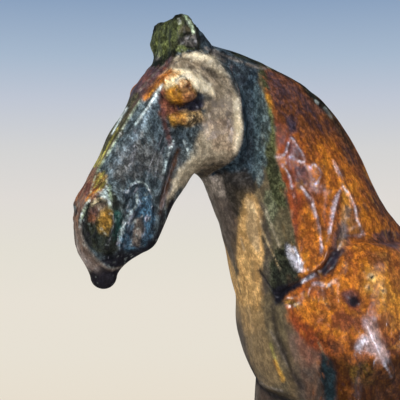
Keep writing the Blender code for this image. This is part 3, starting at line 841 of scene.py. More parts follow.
SHOULDER_PATCHES = [
    Patch("bright shoulder", NECK, BRIGHT_AMBER, 12, 8, 0.65, [
        (298, 300), (312, 286), (330, 284), (345, 262), (380, 252), (410, 262), (410, 340), (350, 348),
        (322, 340), (304, 325),
    ]),
    Patch("gold round the pits", NECK, GOLD, 12, 6, 0.45, [
        (358, 272), (374, 264), (396, 274), (412, 292), (410, 330), (392, 332), (380, 308), (362, 298),
    ]),
    Patch("red front of the shoulder", NECK, RED_BROWN, 14, 8, 0.75, [
        (286, 314), (304, 322), (330, 340), (342, 352), (324, 360), (300, 346),
    ]),
    Patch("red under the fold", NECK, RED_BROWN, 8, 4, 0.6, [
        (300, 284), (316, 288), (330, 292), (326, 300), (308, 298), (298, 292),
    ]),
    Patch("blotch under the dent", NECK, MAROON, 5, 4, 0.85, [
        (331, 316), (340, 311), (347, 315), (352, 320), (352, 328), (342, 333), (333, 327),
    ]),
    Patch("blotch behind it", NECK, MAROON, 5, 4, 0.75, [
        (350, 319), (358, 317), (365, 320), (366, 328), (356, 332),
    ]),
    Patch("blotch over the ridge", NECK, MAROON, 5, 4, 0.6, [
        (376, 318), (388, 312), (396, 316), (390, 326), (380, 328),
    ]),
    Patch("blotch at the right edge", NECK, MAROON, 6, 4, 0.5, [
        (388, 262), (400, 262), (410, 280), (402, 296), (394, 284),
    ]),
    Patch("blotch before the dent", NECK, MAROON, 5, 4, 0.4, [
        (318, 296), (330, 298), (334, 308), (322, 310),
    ]),
    Patch("small brown blotch", NECK, PURPLE_BROWN, 5, 2, 0.5, [
        (316, 310), (327, 312), (328, 323), (318, 322),
    ]),
    Patch("blotch behind the ridge", NECK, MAROON, 5, 3, 0.85, [
        (383, 337), (394, 337), (400, 352), (387, 355),
    ]),
    Patch("blotch under the withers", NECK, PURPLE_BROWN, 6, 4, 0.7, [
        (364, 251), (388, 252), (392, 263), (372, 266),
    ]),
    Patch("blotch beside the ridge", NECK, PURPLE_BROWN, 6, 4, 0.5, [
        (344, 334), (356, 340), (362, 352), (350, 352),
    ]),
    Patch("shaded amber in front", NECK, SHADOWED_AMBER, 12, 8, 0.75, [
        (316, 334), (332, 338), (346, 340), (356, 346), (368, 352), (378, 364), (350, 366), (330, 364),
        (320, 352),
    ]),
    Patch("shaded amber behind", NECK, SHADOWED_AMBER, 10, 6, 0.6, [
        (384, 334), (400, 330), (412, 340), (408, 360), (396, 362), (386, 350),
    ]),
    Patch("round the dent", NECK, MAROON, 6, 3, 0.9, [
        (341, 293), (350, 289), (360, 293), (364, 303), (360, 312), (350, 311), (344, 303),
    ]),
    # Painted shadow on the dent's upper wall.
    Patch("upper wall of the dent", NECK, PURPLE_GREY, 5, 3, 0.8, [
        (344, 295), (351, 292), (357, 296), (356, 302), (350, 305), (346, 301),
    ]),
    Patch("gold between the pits", NECK, GOLD, 6, 3, 0.8, [
        (361, 282), (367, 273), (380, 275), (393, 287), (398, 298), (386, 301), (371, 296),
    ]),
    # Painted highlight: a broad whitish gleam on the shoulder.
    Patch("gleam on the shoulder", NEAR_NECK, PAINTED_SHEEN, 9, 2.5, 0.38, [
        (363, 318), (372, 319), (379, 332), (385, 346), (390, 360), (396, 376), (391, 378), (384, 367),
        (375, 355), (364, 349), (357, 347), (359, 339), (366, 335),
    ]),
    Patch("dark below", NECK, DARK_BROWN, 12, 7, 0.97, [
        (322, 362), (340, 356), (352, 360), (378, 364), (400, 352), (470, 338), (470, 480), (300, 480),
        (312, 404), (318, 380),
    ]),
    Patch("moss below the ridge", NECK, MOSSY_BROWN, 8, 6, 0.85, [
        (346, 364), (362, 362), (378, 370), (372, 384), (352, 384),
    ]),
    Patch("breast", NECK, OLIVE, 9, 5, 0.95, [
        (256, 294), (278, 298), (288, 316), (297, 340), (304, 366), (306, 404), (262, 404), (250, 372),
        (246, 340),
    ]),
    Patch("lilac of the breast", NECK, LILAC_BROWN, 10, 4, 0.9, [
        (288, 332), (304, 340), (317, 352), (320, 368), (314, 384), (300, 374), (290, 352),
    ]),
    Patch("dusk of the breast", NECK, DUSK, 12, 5, 0.85, [
        (296, 366), (310, 366), (322, 380), (326, 404), (298, 404),
    ]),
    Patch("red of the breast", NECK, RED_BROWN, 9, 4, 0.25, [
        (296, 338), (308, 343), (316, 360), (308, 368), (299, 354),
    ]),
    Patch("teal run", NECK, TEAL, 7, 3, 0.97, [
        (321, 354), (327, 358), (336, 372), (338, 404), (325, 404), (320, 380),
    ]),
]


THROAT_PATCHES = [
    Patch("front of the neck", NECK, OLIVE, 6, 3, 1.0, [
        (190, 170), (262, 56), (266, 90), (272, 120), (278, 160), (286, 200), (296, 240), (302, 262),
        (298, 282), (284, 298), (286, 330), (290, 404), (230, 404), (200, 200),
    ]),
    Patch("side of the throat", NECK, GREY_GREEN, 8, 6, 0.95, [
        (263, 190), (278, 190), (288, 212), (297, 240), (302, 262), (296, 282), (282, 294), (268, 290),
        (260, 265), (260, 225),
    ]),
    Patch("green band", NECK, FOREST, 5, 6, 0.95, [
        (260, 60), (268, 90), (272, 120), (275, 148), (280, 176), (286, 204), (293, 232), (300, 256),
        (292, 258), (284, 232), (277, 204), (268, 182), (263, 150), (262, 110),
    ]),
    Patch("olive in the green band", NECK, OLIVE, 8, 4, 0.7, [
        (270, 224), (280, 208), (291, 212), (295, 240), (289, 256), (279, 268), (267, 262),
    ]),
    Patch("dark green corner", NECK, DARK_GREEN, 9, 5, 0.95, [
        (268, 262), (280, 246), (290, 244), (300, 262), (304, 274), (296, 286), (284, 298), (272, 294),
    ]),
    # Painted shade: near-black in the hollow at the end of the fold.
    Patch("ink in the fold", NECK, INK, 5, 3, 0.95, [
        (273, 288), (282, 285), (292, 283), (303, 280), (303, 285), (292, 291), (286, 297), (283, 304),
        (275, 305),
    ]),
    Patch("navy band", NECK, NAVY, 5, 4, 0.98, [
        (196, 40), (240, 50), (256, 64), (261, 100), (262, 140), (260, 168), (252, 188), (240, 190),
        (225, 182), (196, 182), (190, 120),
    ]),
    Patch("dusty edge of the band", NECK, DUSTY_TEAL, 5, 6, 0.8, [
        (256, 80), (263, 88), (266, 112), (266, 140), (264, 160), (261, 188), (257, 190), (255, 160),
        (254, 120),
    ]),
    Patch("shade behind the cheek", NECK, NIGHT_SLATE, 5, 5, 0.6, [
        (244, 84), (251, 84), (254, 120), (254, 164), (248, 172), (246, 130),
    ]),
    # Painted shadow under the jaw.
    Patch("painted shadow under the jaw", NECK, SHADOW_BLACK, 7, 4, 0.95, [
        (216, 172), (246, 172), (258, 188), (252, 198), (241, 208), (238, 232), (229, 214), (220, 190),
    ]),
    Patch("shade beside the windpipe", NECK, DUSK, 6, 5, 0.8, [
        (256, 196), (266, 204), (270, 240), (270, 290), (262, 296), (260, 230),
    ]),
    Patch("windpipe", NECK, TAN, 9, 6, 0.95, [
        (243, 208), (248, 195), (256, 198), (261, 214), (262, 262), (260, 300), (260, 326), (256, 334),
        (246, 330), (238, 306), (235, 268), (237, 234),
    ]),
    Patch("pale top of the windpipe", NECK, CREAM, 6, 4, 0.35, [
        (247, 198), (254, 202), (259, 226), (257, 250), (248, 236),
    ]),
    Patch("foot of the windpipe", NECK, DULL_TAN, 9, 6, 0.9, [
        (242, 306), (262, 310), (270, 346), (282, 384), (264, 392), (248, 362),
    ]),
    Patch("far throat", NECK, LILAC_GREY, 4, 2, 0.9, [
        (190, 172), (221, 176), (225, 196), (232, 222), (230, 240), (226, 262), (208, 220),
    ]),
    # Painted shade: a dusky band down the neck's front edge.
    Patch("gullet", NECK, DUSK, 6, 3, 0.85, [
        (214, 196), (228, 200), (238, 222), (236, 262), (239, 306), (248, 345), (262, 386), (244, 392),
        (232, 340), (222, 280), (212, 224),
    ]),
    # Painted highlight over the fold.
    Patch("gleam over the fold", NEAR_NECK, PAINTED_SHEEN, 7, 3, 0.35, [
        (287, 245), (295, 248), (301, 260), (304, 271), (298, 270), (292, 263), (287, 254),
    ]),
]


HEAD_PATCHES = [
    Patch("whole head", HEAD, SLATE, 3, 1, 1.0, [(60, 40), (262, 40), (262, 300), (60, 300)]),
    Patch("dust on the nose", HEAD, DUSTY_BROWN, 8, 14, 0.4, [
        (118, 146), (140, 138), (160, 150), (162, 176), (140, 180), (116, 176),
    ]),
    Patch("shade of the nose", HEAD, NIGHT_SLATE, 12, 8, 0.3, [
        (154, 126), (166, 128), (172, 150), (162, 200), (153, 184), (140, 178), (128, 186), (116, 190),
        (122, 165), (138, 142),
    ]),
    Patch("shade beside the tear line", HEAD, NIGHT_SLATE, 6, 5, 0.7, [
        (150, 104), (162, 96), (166, 122), (164, 150), (158, 150), (154, 126),
    ]),
    Patch("front of the nose", HEAD, LILAC_BROWN, 2, 1, 0.95, NOSE_STRIP),
    Patch("purple bridge", HEAD, PURPLE_GREY, 5, 3, 0.9, [
        (118, 106), (138, 78), (158, 58), (172, 52), (174, 60), (160, 72), (148, 86), (136, 102),
        (122, 122), (110, 128),
    ]),
    Patch("plum of the forehead", HEAD, PLUM, 4, 4, 0.35, [
        (136, 84), (152, 68), (166, 58), (168, 64), (154, 76), (142, 92),
    ]),
    Patch("green on the bridge", HEAD, FOREST, 4, 4, 0.75, [
        (140, 92), (132, 110), (118, 134), (106, 154), (98, 156), (110, 126), (128, 98),
    ]),
    Patch("bare tip of the nose", HEAD, PINK_GREY, 4, 2, 0.9, [
        (66, 204), (75, 194), (76, 212), (75, 232), (81, 250), (92, 263), (86, 270), (70, 252),
        (58, 232),
    ]),
    Patch("rust before the nostril", HEAD, RUST, 4, 3, 0.5, [
        (96, 166), (95, 180), (87, 199), (80, 220), (77, 229), (75, 212), (79, 195), (88, 174),
    ]),
    Patch("cheek", HEAD, GREY_BEIGE, 10, 4, 1.0, [
        (171, 62), (181, 54), (201, 51), (212, 54), (222, 63), (232, 78), (240, 98), (244, 122),
        (243, 146), (235, 163), (218, 171), (203, 176), (190, 182), (178, 190), (167, 207), (166, 196),
        (173, 182), (182, 170), (192, 160), (196, 148), (196, 136), (199, 126), (202, 116), (204, 104),
        (200, 92), (186, 84), (172, 82), (164, 84), (167, 72),
    ]),
    Patch("brow", HEAD, CREAM, 6, 4, 0.85, [
        (176, 57), (184, 53), (201, 51), (212, 55), (222, 65), (229, 76), (222, 74), (212, 68),
        (200, 61), (190, 58),
    ]),
    Patch("upper lid", HEAD, CREAM, 5, 5, 0.8, [
        (172, 66), (188, 66), (200, 72), (208, 80), (214, 92), (208, 95), (198, 87), (186, 80),
        (172, 80),
    ]),
    Patch("rim of the cheek", HEAD, PALE_CREAM, 7, 3, 0.55, [
        (232, 90), (238, 96), (243, 114), (244, 132), (242, 150), (235, 156), (233, 136), (234, 112),
    ]),
    Patch("lower cheek", HEAD, CREAM, 12, 8, 0.35, [
        (198, 132), (212, 124), (228, 132), (234, 148), (224, 156), (206, 160), (190, 168), (182, 176),
        (180, 168),
    ]),
    Patch("rust on the cheek", HEAD, RUST, 8, 8, 0.22, [
        (204, 120), (226, 118), (238, 134), (234, 152), (212, 152),
    ]),
    Patch("dust on the cheek", HEAD, DUSTY_BROWN, 8, 10, 0.45, [
        (206, 98), (224, 96), (232, 112), (230, 126), (214, 122), (204, 112),
    ]),
    Patch("under the jaw", HEAD, SHADED_BROWN, 7, 3, 0.95, [
        (190, 176), (200, 169), (214, 164), (228, 160), (240, 150), (248, 142), (248, 166), (228, 182),
        (204, 184), (188, 190),
    ]),
    Patch("edge of the jaw", HEAD, CREAM, 6, 2, 0.75, [
        (168, 198), (173, 182), (182, 168), (192, 158), (203, 160), (198, 170), (186, 180), (178, 190),
    ]),
    Patch("shade behind the brow", HEAD, NIGHT_SLATE, 12, 4, 0.85, [
        (216, 46), (236, 56), (250, 84), (252, 108), (239, 98), (229, 78), (219, 62),
    ]),
    # Painted shade under the eye: slate, with darker slate in it.
    Patch("slate under the eye", HEAD, SLATE, 9, 6, 0.9, [
        (166, 128), (184, 128), (198, 121), (202, 128), (195, 140), (192, 150), (182, 160), (172, 170),
    ]),
    Patch("shade under the eye", HEAD, NIGHT_SLATE, 8, 5, 0.75, [
        (168, 130), (184, 130), (192, 128), (186, 142), (178, 150), (172, 146),
    ]),
    Patch("ochre over the nostril", HEAD, OCHRE, 6, 3, 0.9, [
        (94, 182), (99, 173), (105, 176), (107, 186), (101, 192), (95, 190),
    ]),
    Patch("rust over the nostril", HEAD, RUST, 4, 2, 0.8, [
        (84, 198), (88, 186), (95, 184), (103, 190), (98, 198), (90, 202),
    ]),
    Patch("plum over the nostril", HEAD, PLUM, 2.5, 3, 0.8, [
        (85, 193), (89, 183), (93, 184), (90, 191), (87, 197),
    ]),
    Patch("nostril", HEAD, DARK_GREEN, 4, 4, 0.95, [
        (104, 190), (114, 193), (124, 204), (120, 240), (112, 256), (96, 254), (84, 240), (79, 222),
        (83, 207), (94, 200),
    ]),
    Patch("dust in the nostril", HEAD, DUSTY_BROWN, 6, 3, 0.8, [
        (92, 206), (104, 200), (110, 206), (102, 216), (92, 224), (87, 216),
    ]),
    Patch("plum in the nostril", HEAD, PLUM, 5, 2, 0.6, [
        (88, 212), (96, 206), (100, 212), (94, 222), (88, 222),
    ]),
    Patch("ochre in the nostril", HEAD, OCHRE, 7, 3, 0.75, [
        (97, 222), (101, 211), (108, 206), (112, 212), (112, 224), (106, 234), (99, 231),
    ]),
    Patch("gold in the nostril", HEAD, GOLD, 6, 2, 0.3, [
        (101, 219), (106, 212), (109, 216), (104, 228),
    ]),
    Patch("ink in the nostril", HEAD, INK, 4, 4, 0.6, [
        (80, 207), (86, 206), (88, 216), (88, 230), (94, 246), (88, 250), (82, 238), (79, 222),
    ]),
    Patch("mouth pad", HEAD, LOBE_BLUE, 3, 3, 0.92, [
        (127, 191), (132, 184), (140, 181.5), (147, 185), (152, 194), (155, 210), (156, 230),
        (150, 246), (138, 254), (126, 252), (119, 244), (122, 228), (127, 214),
    ]),
    Patch("shade of the mouth pad", HEAD, NIGHT_SLATE, 3, 3, 0.7, [
        (128, 191), (136, 186), (137, 200), (132, 210), (127, 208),
    ]),
    Patch("teal behind the nostril", HEAD, TEAL, 4, 4, 0.6, [
        (114, 221), (124, 220), (125, 231), (116, 234),
    ]),
    Patch("dust on the mouth pad", HEAD, DUSTY_BROWN, 5, 4, 0.8, [
        (134, 219), (141, 218), (143, 234), (139, 247), (132, 246),
    ]),
    # Painted shade: near-black along the underside of the muzzle and jaw.
    Patch("under the muzzle", HEAD, INK, 8, 5, 0.98, [
        (96, 256), (112, 256), (128, 252), (146, 245), (157, 228), (166, 214), (171, 200), (177, 204),
        (171, 230), (160, 254), (140, 268), (122, 268), (109, 270), (99, 263),
    ]),
    Patch("hanging lip", HEAD, INK, 7, 2, 0.97, [
        (87, 273), (98, 266), (111, 271), (130, 268), (130, 290), (110, 304), (84, 300),
    ]),
]


EYE_PATCHES = [
    Patch("gilded lids", HEAD, OCHRE, 8, 5, 0.95, [
        (158, 90), (164, 77), (174, 70), (187, 72), (196, 80), (200, 90), (203, 104), (203, 114),
        (198, 122), (186, 127), (172, 126), (164, 120), (160, 106),
    ]),
    Patch("pale brow", HEAD, PALE_CREAM, 5, 3, 0.7, [
        (180, 55), (192, 52), (206, 53), (214, 58), (210, 61), (200, 58), (188, 58),
    ]),
    Patch("pale upper lid", HEAD, PALE_CREAM, 6, 2, 0.85, [
        (176, 74), (182, 69), (190, 71), (198, 78), (207, 90), (202, 94), (195, 89), (190, 80),
        (183, 77), (178, 80),
    ]),
    Patch("butter on the front lid", HEAD, BUTTER, 6, 3, 0.95, [
        (157, 92), (162, 80), (168, 72), (176, 69), (182, 74), (179, 82), (172, 88), (164, 92),
    ]),
    Patch("amber on the front lid", HEAD, BRIGHT_AMBER, 5, 3, 0.6, [
        (160, 82), (167, 74), (176, 70), (179, 75), (171, 80), (165, 87), (159, 90),
    ]),
    # Painted highlight: a white glint on the front lid.
    Patch("white of the front lid", HEAD, PALE_CREAM, 5, 2, 1.0, [
        (172, 82), (177, 76), (184, 74), (189, 78), (183, 79), (177, 84),
    ]),
    Patch("gold of the eyeball", HEAD, GOLD, 5, 2, 0.95, [
        (163, 91), (171, 86), (179, 89), (185, 95), (185, 103), (175, 104), (167, 100),
    ]),
    Patch("rust of the eyeball", HEAD, RUST, 5, 2, 0.9, [
        (181, 90), (190, 88), (196, 92), (197, 99), (189, 103), (183, 103),
    ]),
    Patch("pupil", HEAD, RUST, 4, 1.5, 0.9, [
        (176, 86), (179, 81), (184, 78.5), (190, 81), (192, 88), (185, 91), (180, 90),
    ]),
    Patch("gleam of the pupil", HEAD, BUTTER, 3, 1.5, 0.4, [
        (178, 82), (183, 79.5), (188, 82), (186, 86), (180, 87),
    ]),
    Patch("tan under the pupil", HEAD, TAN, 3, 1.5, 0.45, [(178, 89), (188, 88), (192, 94), (183, 95)]),
    Patch("bruise", HEAD, PLUM, 6, 3, 0.95, [
        (157, 87), (161, 83), (166, 88), (167, 97), (172, 103), (184, 106), (184, 113), (172, 114),
        (165, 118), (160, 114), (157, 104),
    ]),
    Patch("red of the bruise", HEAD, RED_PLUM, 7, 4, 0.55, [
        (159, 102), (168, 100), (180, 108), (178, 116), (164, 120), (159, 112),
    ]),
    Patch("slit", HEAD, INDIGO, 4, 2, 1.0, [
        (172, 104.5), (180, 104.5), (187, 103), (192, 100), (196, 96), (199, 92), (203, 95), (204, 106),
        (200, 112), (190, 112.5), (180, 111), (174, 109),
    ]),
    Patch("speckled lower lid", HEAD, SPECKLED, 8, 3, 0.9, [
        (183, 114), (192, 112), (201, 111), (203, 117), (197, 125), (188, 126), (182, 122),
    ]),
    Patch("gold of the lower lid", HEAD, GOLD, 7, 3, 0.6, [
        (168, 115), (176, 113), (186, 115), (186, 122), (175, 125), (168, 121),
    ]),
]


EAR_PATCHES = [
    Patch("ears", HEAD, DARK_GREEN, 3, 4, 1.0, [
        (148, 66), (140, 20), (168, 0), (200, 4), (206, 36), (214, 50), (201, 51), (181, 53), (170, 58),
        (158, 66),
    ]),
    Patch("moss on both ears", HEAD, MOSS, 12, 8, 0.4, [
        (152, 52), (156, 30), (166, 24), (182, 18), (190, 26), (182, 44), (166, 54),
    ]),
    Patch("lilac front edge", HEAD, EAR_LILAC, 3, 2, 0.75, [
        (148, 58), (149, 28), (155, 24), (158, 32), (156.5, 46), (160, 60),
    ]),
    Patch("moss of the far ear", HEAD, MOSS, 4, 4, 0.6, [
        (160, 56), (164, 46), (171, 38), (177, 26), (182, 21), (182, 28), (176, 38), (168, 48),
    ]),
    Patch("olive of the near ear", HEAD, OLIVE, 4, 4, 0.6, [
        (178, 34), (182, 24), (190, 24), (193, 33),
    ]),
    Patch("lilac of the near ear", HEAD, EAR_LILAC, 4, 4, 0.9, [
        (177, 46), (178, 38), (185, 34), (195, 33), (199, 40), (199, 48), (188, 47),
    ]),
    Patch("leaf green rim", HEAD, LEAF, 2.5, 4, 0.95, [
        (182, 15), (187, 15), (193, 21), (198, 31), (194, 35), (188, 27), (184, 20),
    ]),
    Patch("dark tip", HEAD, DARK_GREEN, 4, 3, 0.7, [
        (172, 12), (182, 11), (184, 17), (178, 20), (172, 19),
    ]),
    Patch("moss at the root", HEAD, MOSS, 3, 3, 0.85, [
        (174, 51), (176, 43), (186, 44), (187, 51), (180, 54),
    ]),
    Patch("poll", ALL, NIGHT_SLATE, 4, 3, 0.95, [
        (198, 22), (214, 42), (262, 56), (260, 66), (236, 68), (216, 56), (200, 49),
    ]),
]


NECK_RUNS = [
    # The fold's hollow is painted shade: near-black along it, at its end and under it.
    Run("neck fold", NECK, INK, 1.5, 1.0, 0.95, NECK_FOLD[:4]),
    Run("end of the fold", NECK, INK, 4.5, 1.5, 0.97, [(276, 292), (279, 299)]),
    Run("shade under the fold", NECK, INK, 2.0, 1.0, 0.9, [(284, 291), (292, 289), (300, 286)]),
    # Painted highlights below the fold.
    Run("wet gleam in the fold", NECK, LILAC_HIGHLIGHT, 1.6, 1.0, 0.9, [
        (303, 281), (308, 278), (313, 275),
    ]),
    Run("gleam under the fold", NECK, LILAC_HIGHLIGHT, 1.4, 1.6, 0.45, [
        (313, 284), (318, 283), (323, 285),
    ]),
    Run("back of the fold", NECK, PURPLE_BROWN, 2.4, 2.5, 0.8, NECK_FOLD[7:]),
    Run("crack to the fold", NECK, INK, 1.1, 0.5, 0.95, [
        (259, 270), (264, 277), (270, 286), (275, 294),
    ]),
    Run("upper crest", NECK, DARK_GREEN, 2.6, 3, 0.95, CREST_EDGE[:4]),
    Run("lower crest", NECK, PURPLE_BROWN, 3.0, 5, 0.7, CREST_EDGE[3:]),
    Run("green on the crest", NECK, DARK_GREEN, 4.0, 3, 0.7, [
        (308, 92), (320, 103), (328, 111), (337, 124), (344, 136), (351, 147),
    ]),
    # Painted glints on the crest.
    Run("painted glint on the crest", NECK, FROST, 0.8, 2.0, 0.6, [(316, 101), (318, 103)]),
    Run("second painted glint on the crest", NECK, FROST, 1.0, 2.0, 0.35, [(325, 108), (328, 112), (331, 117)]),
    Run("gold at the band", NECK, GOLD, 2.2, 2, 0.9, [(268, 97), (271, 106)]),
    Run("moss at the band", NECK, MOSS, 1.8, 2, 0.6, [(270, 108), (273, 128), (275, 150)]),
    Run("yellow green run", NECK, YELLOW_GREEN, 1.3, 2.6, 0.45, [
        (270, 344), (274, 355), (278, 366), (283, 380),
    ]),
    Run("gold run", NECK, GOLD, 1.7, 2.6, 0.7, [(275, 361), (279, 370), (283, 380)]),
    # Painted shadow under the breast, and a painted highlight along its rim.
    Run("under the breast", NECK, INK, 4.2, 1.5, 0.9, [(259, 389), (268, 393), (278, 397), (292, 403)]),
    Run("rim of the breast", NECK, LILAC_GREY, 1.2, 1.2, 0.7, [
        (258, 378), (263, 384), (271, 388), (282, 391),
    ]),
    Run("pale edge of the crease", NECK, LILAC_GREY, 1.4, 1.5, 0.5, [
        (271, 331), (280, 350), (288, 366),
    ]),
    Run("breast crease", NECK, INK, 2.6, 1.5, 0.7, [
        (272, 306), (276, 330), (284, 352), (292, 372), (302, 388),
    ]),
    Run("ochre at the fold", NECK, OCHRE, 2.6, 3, 0.85, [(287, 302), (292, 303), (298, 306)]),
    Run("seam beside the windpipe", NECK, BUTTER, 0.9, 1.4, 0.4, [
        (250, 205), (259, 219), (261, 228), (270, 248), (280, 270),
    ]),
    Run("pale streak", NECK, CREAM, 1.0, 1.2, 0.5, [(266, 210), (272, 228), (279, 246)]),
    Run("pale nick", NECK, CREAM, 1.0, 0.8, 0.5, [(241, 238), (244, 250)]),
    Run("tan streak", NECK, DULL_TAN, 1.6, 2.0, 0.6, [(252, 262), (254, 290), (253, 320)]),
    Run("lip of the mane", NECK, LILAC_GREY, 1.3, 1.0, 0.8, [
        (247, 64), (256, 67), (264, 68.5), (270, 66),
    ]),
    Run("leaf green at the mane", NECK, LEAF, 1.8, 1.0, 0.7, [(269, 66), (274, 67)]),
    Run("ridge on the poll", ALL, LILAC_GREY, 1.2, 2.0, 0.7, [(206, 48), (214, 53), (224, 61)]),
    Run("second ridge on the poll", ALL, LILAC_GREY, 1.1, 2.0, 0.5, [(214, 50), (228, 57), (242, 62)]),
    Run("lip of the neck", NECK, BRIGHT_AMBER, 2.0, 1.0, 0.95, NECK_LIP),
    Run("scratch on the shoulder", NECK, GREY_GREEN, 1.1, 1.0, 0.6, [
        (318, 342), (322, 350), (326, 360),
    ]),
    # Painted highlight over the fold: its heart and its edge.
    Run("heart of the gleam over the fold", NEAR_NECK, PAINTED_SHEEN, 2.4, 1.2, 0.85, [
        (292, 256), (296, 263), (300, 269),
    ]),
    Run("edge of the gleam", NECK, LILAC_HIGHLIGHT, 0.9, 0.8, 0.9, [(294, 247), (299, 259), (303, 271)]),
    Run("dull top of the windpipe", NECK, DULL_TAN, 9, 3, 0.35, [(248, 198), (250, 225), (250, 248)]),
    Run("tan foot of the windpipe", NECK, TAN, 6, 3, 0.35, [(250, 308), (250, 330)]),
    Run("olive at the foot of the breast", NECK, OLIVE, 6, 3, 0.4, [(262, 374), (268, 384)]),
    Run("maroon edge of the amber", NEAR_NECK, MAROON, 5, 2, 0.3, [
        (291, 160), (294, 190), (298, 215), (303, 240),
    ]),
    # Painted highlight on the shoulder: its heart, its band and its tail.
    Run("heart of the gleam", NEAR_NECK, PAINTED_SHEEN, 3.2, 1.0, 0.85, [(365, 338), (361, 343), (359, 347)]),
    Run("band of the gleam", NEAR_NECK, PAINTED_SHEEN, 3.0, 1.5, 0.35, [(373, 336), (380, 349), (386, 361)]),
    Run("dark spot in the gleam", NEAR_NECK, INDIGO, 2.4, 1.5, 0.7, [(374, 321), (377, 326)]),
    Run("tail of the gleam", NEAR_NECK, LILAC_HIGHLIGHT, 1.0, 1.6, 0.6, [
        (383, 362), (388, 370), (391, 377),
    ]),
    # A soft painted sheen on the wall inside the folds.
    Run("pale wall inside the folds", NECK, LILAC_GREY, 3.0, 2.0, 0.45, [
        (346, 208), (344, 224), (342, 238),
    ]),
    # Painted highlights along the near side's folds and jags.
    *[
        Run("gleam on a fold", NEAR_NECK, LILAC_HIGHLIGHT, 1.0, 2.6, 0.55, fold)
        for fold in SKIN_FOLDS + GLAZE_JAGS
    ],
]


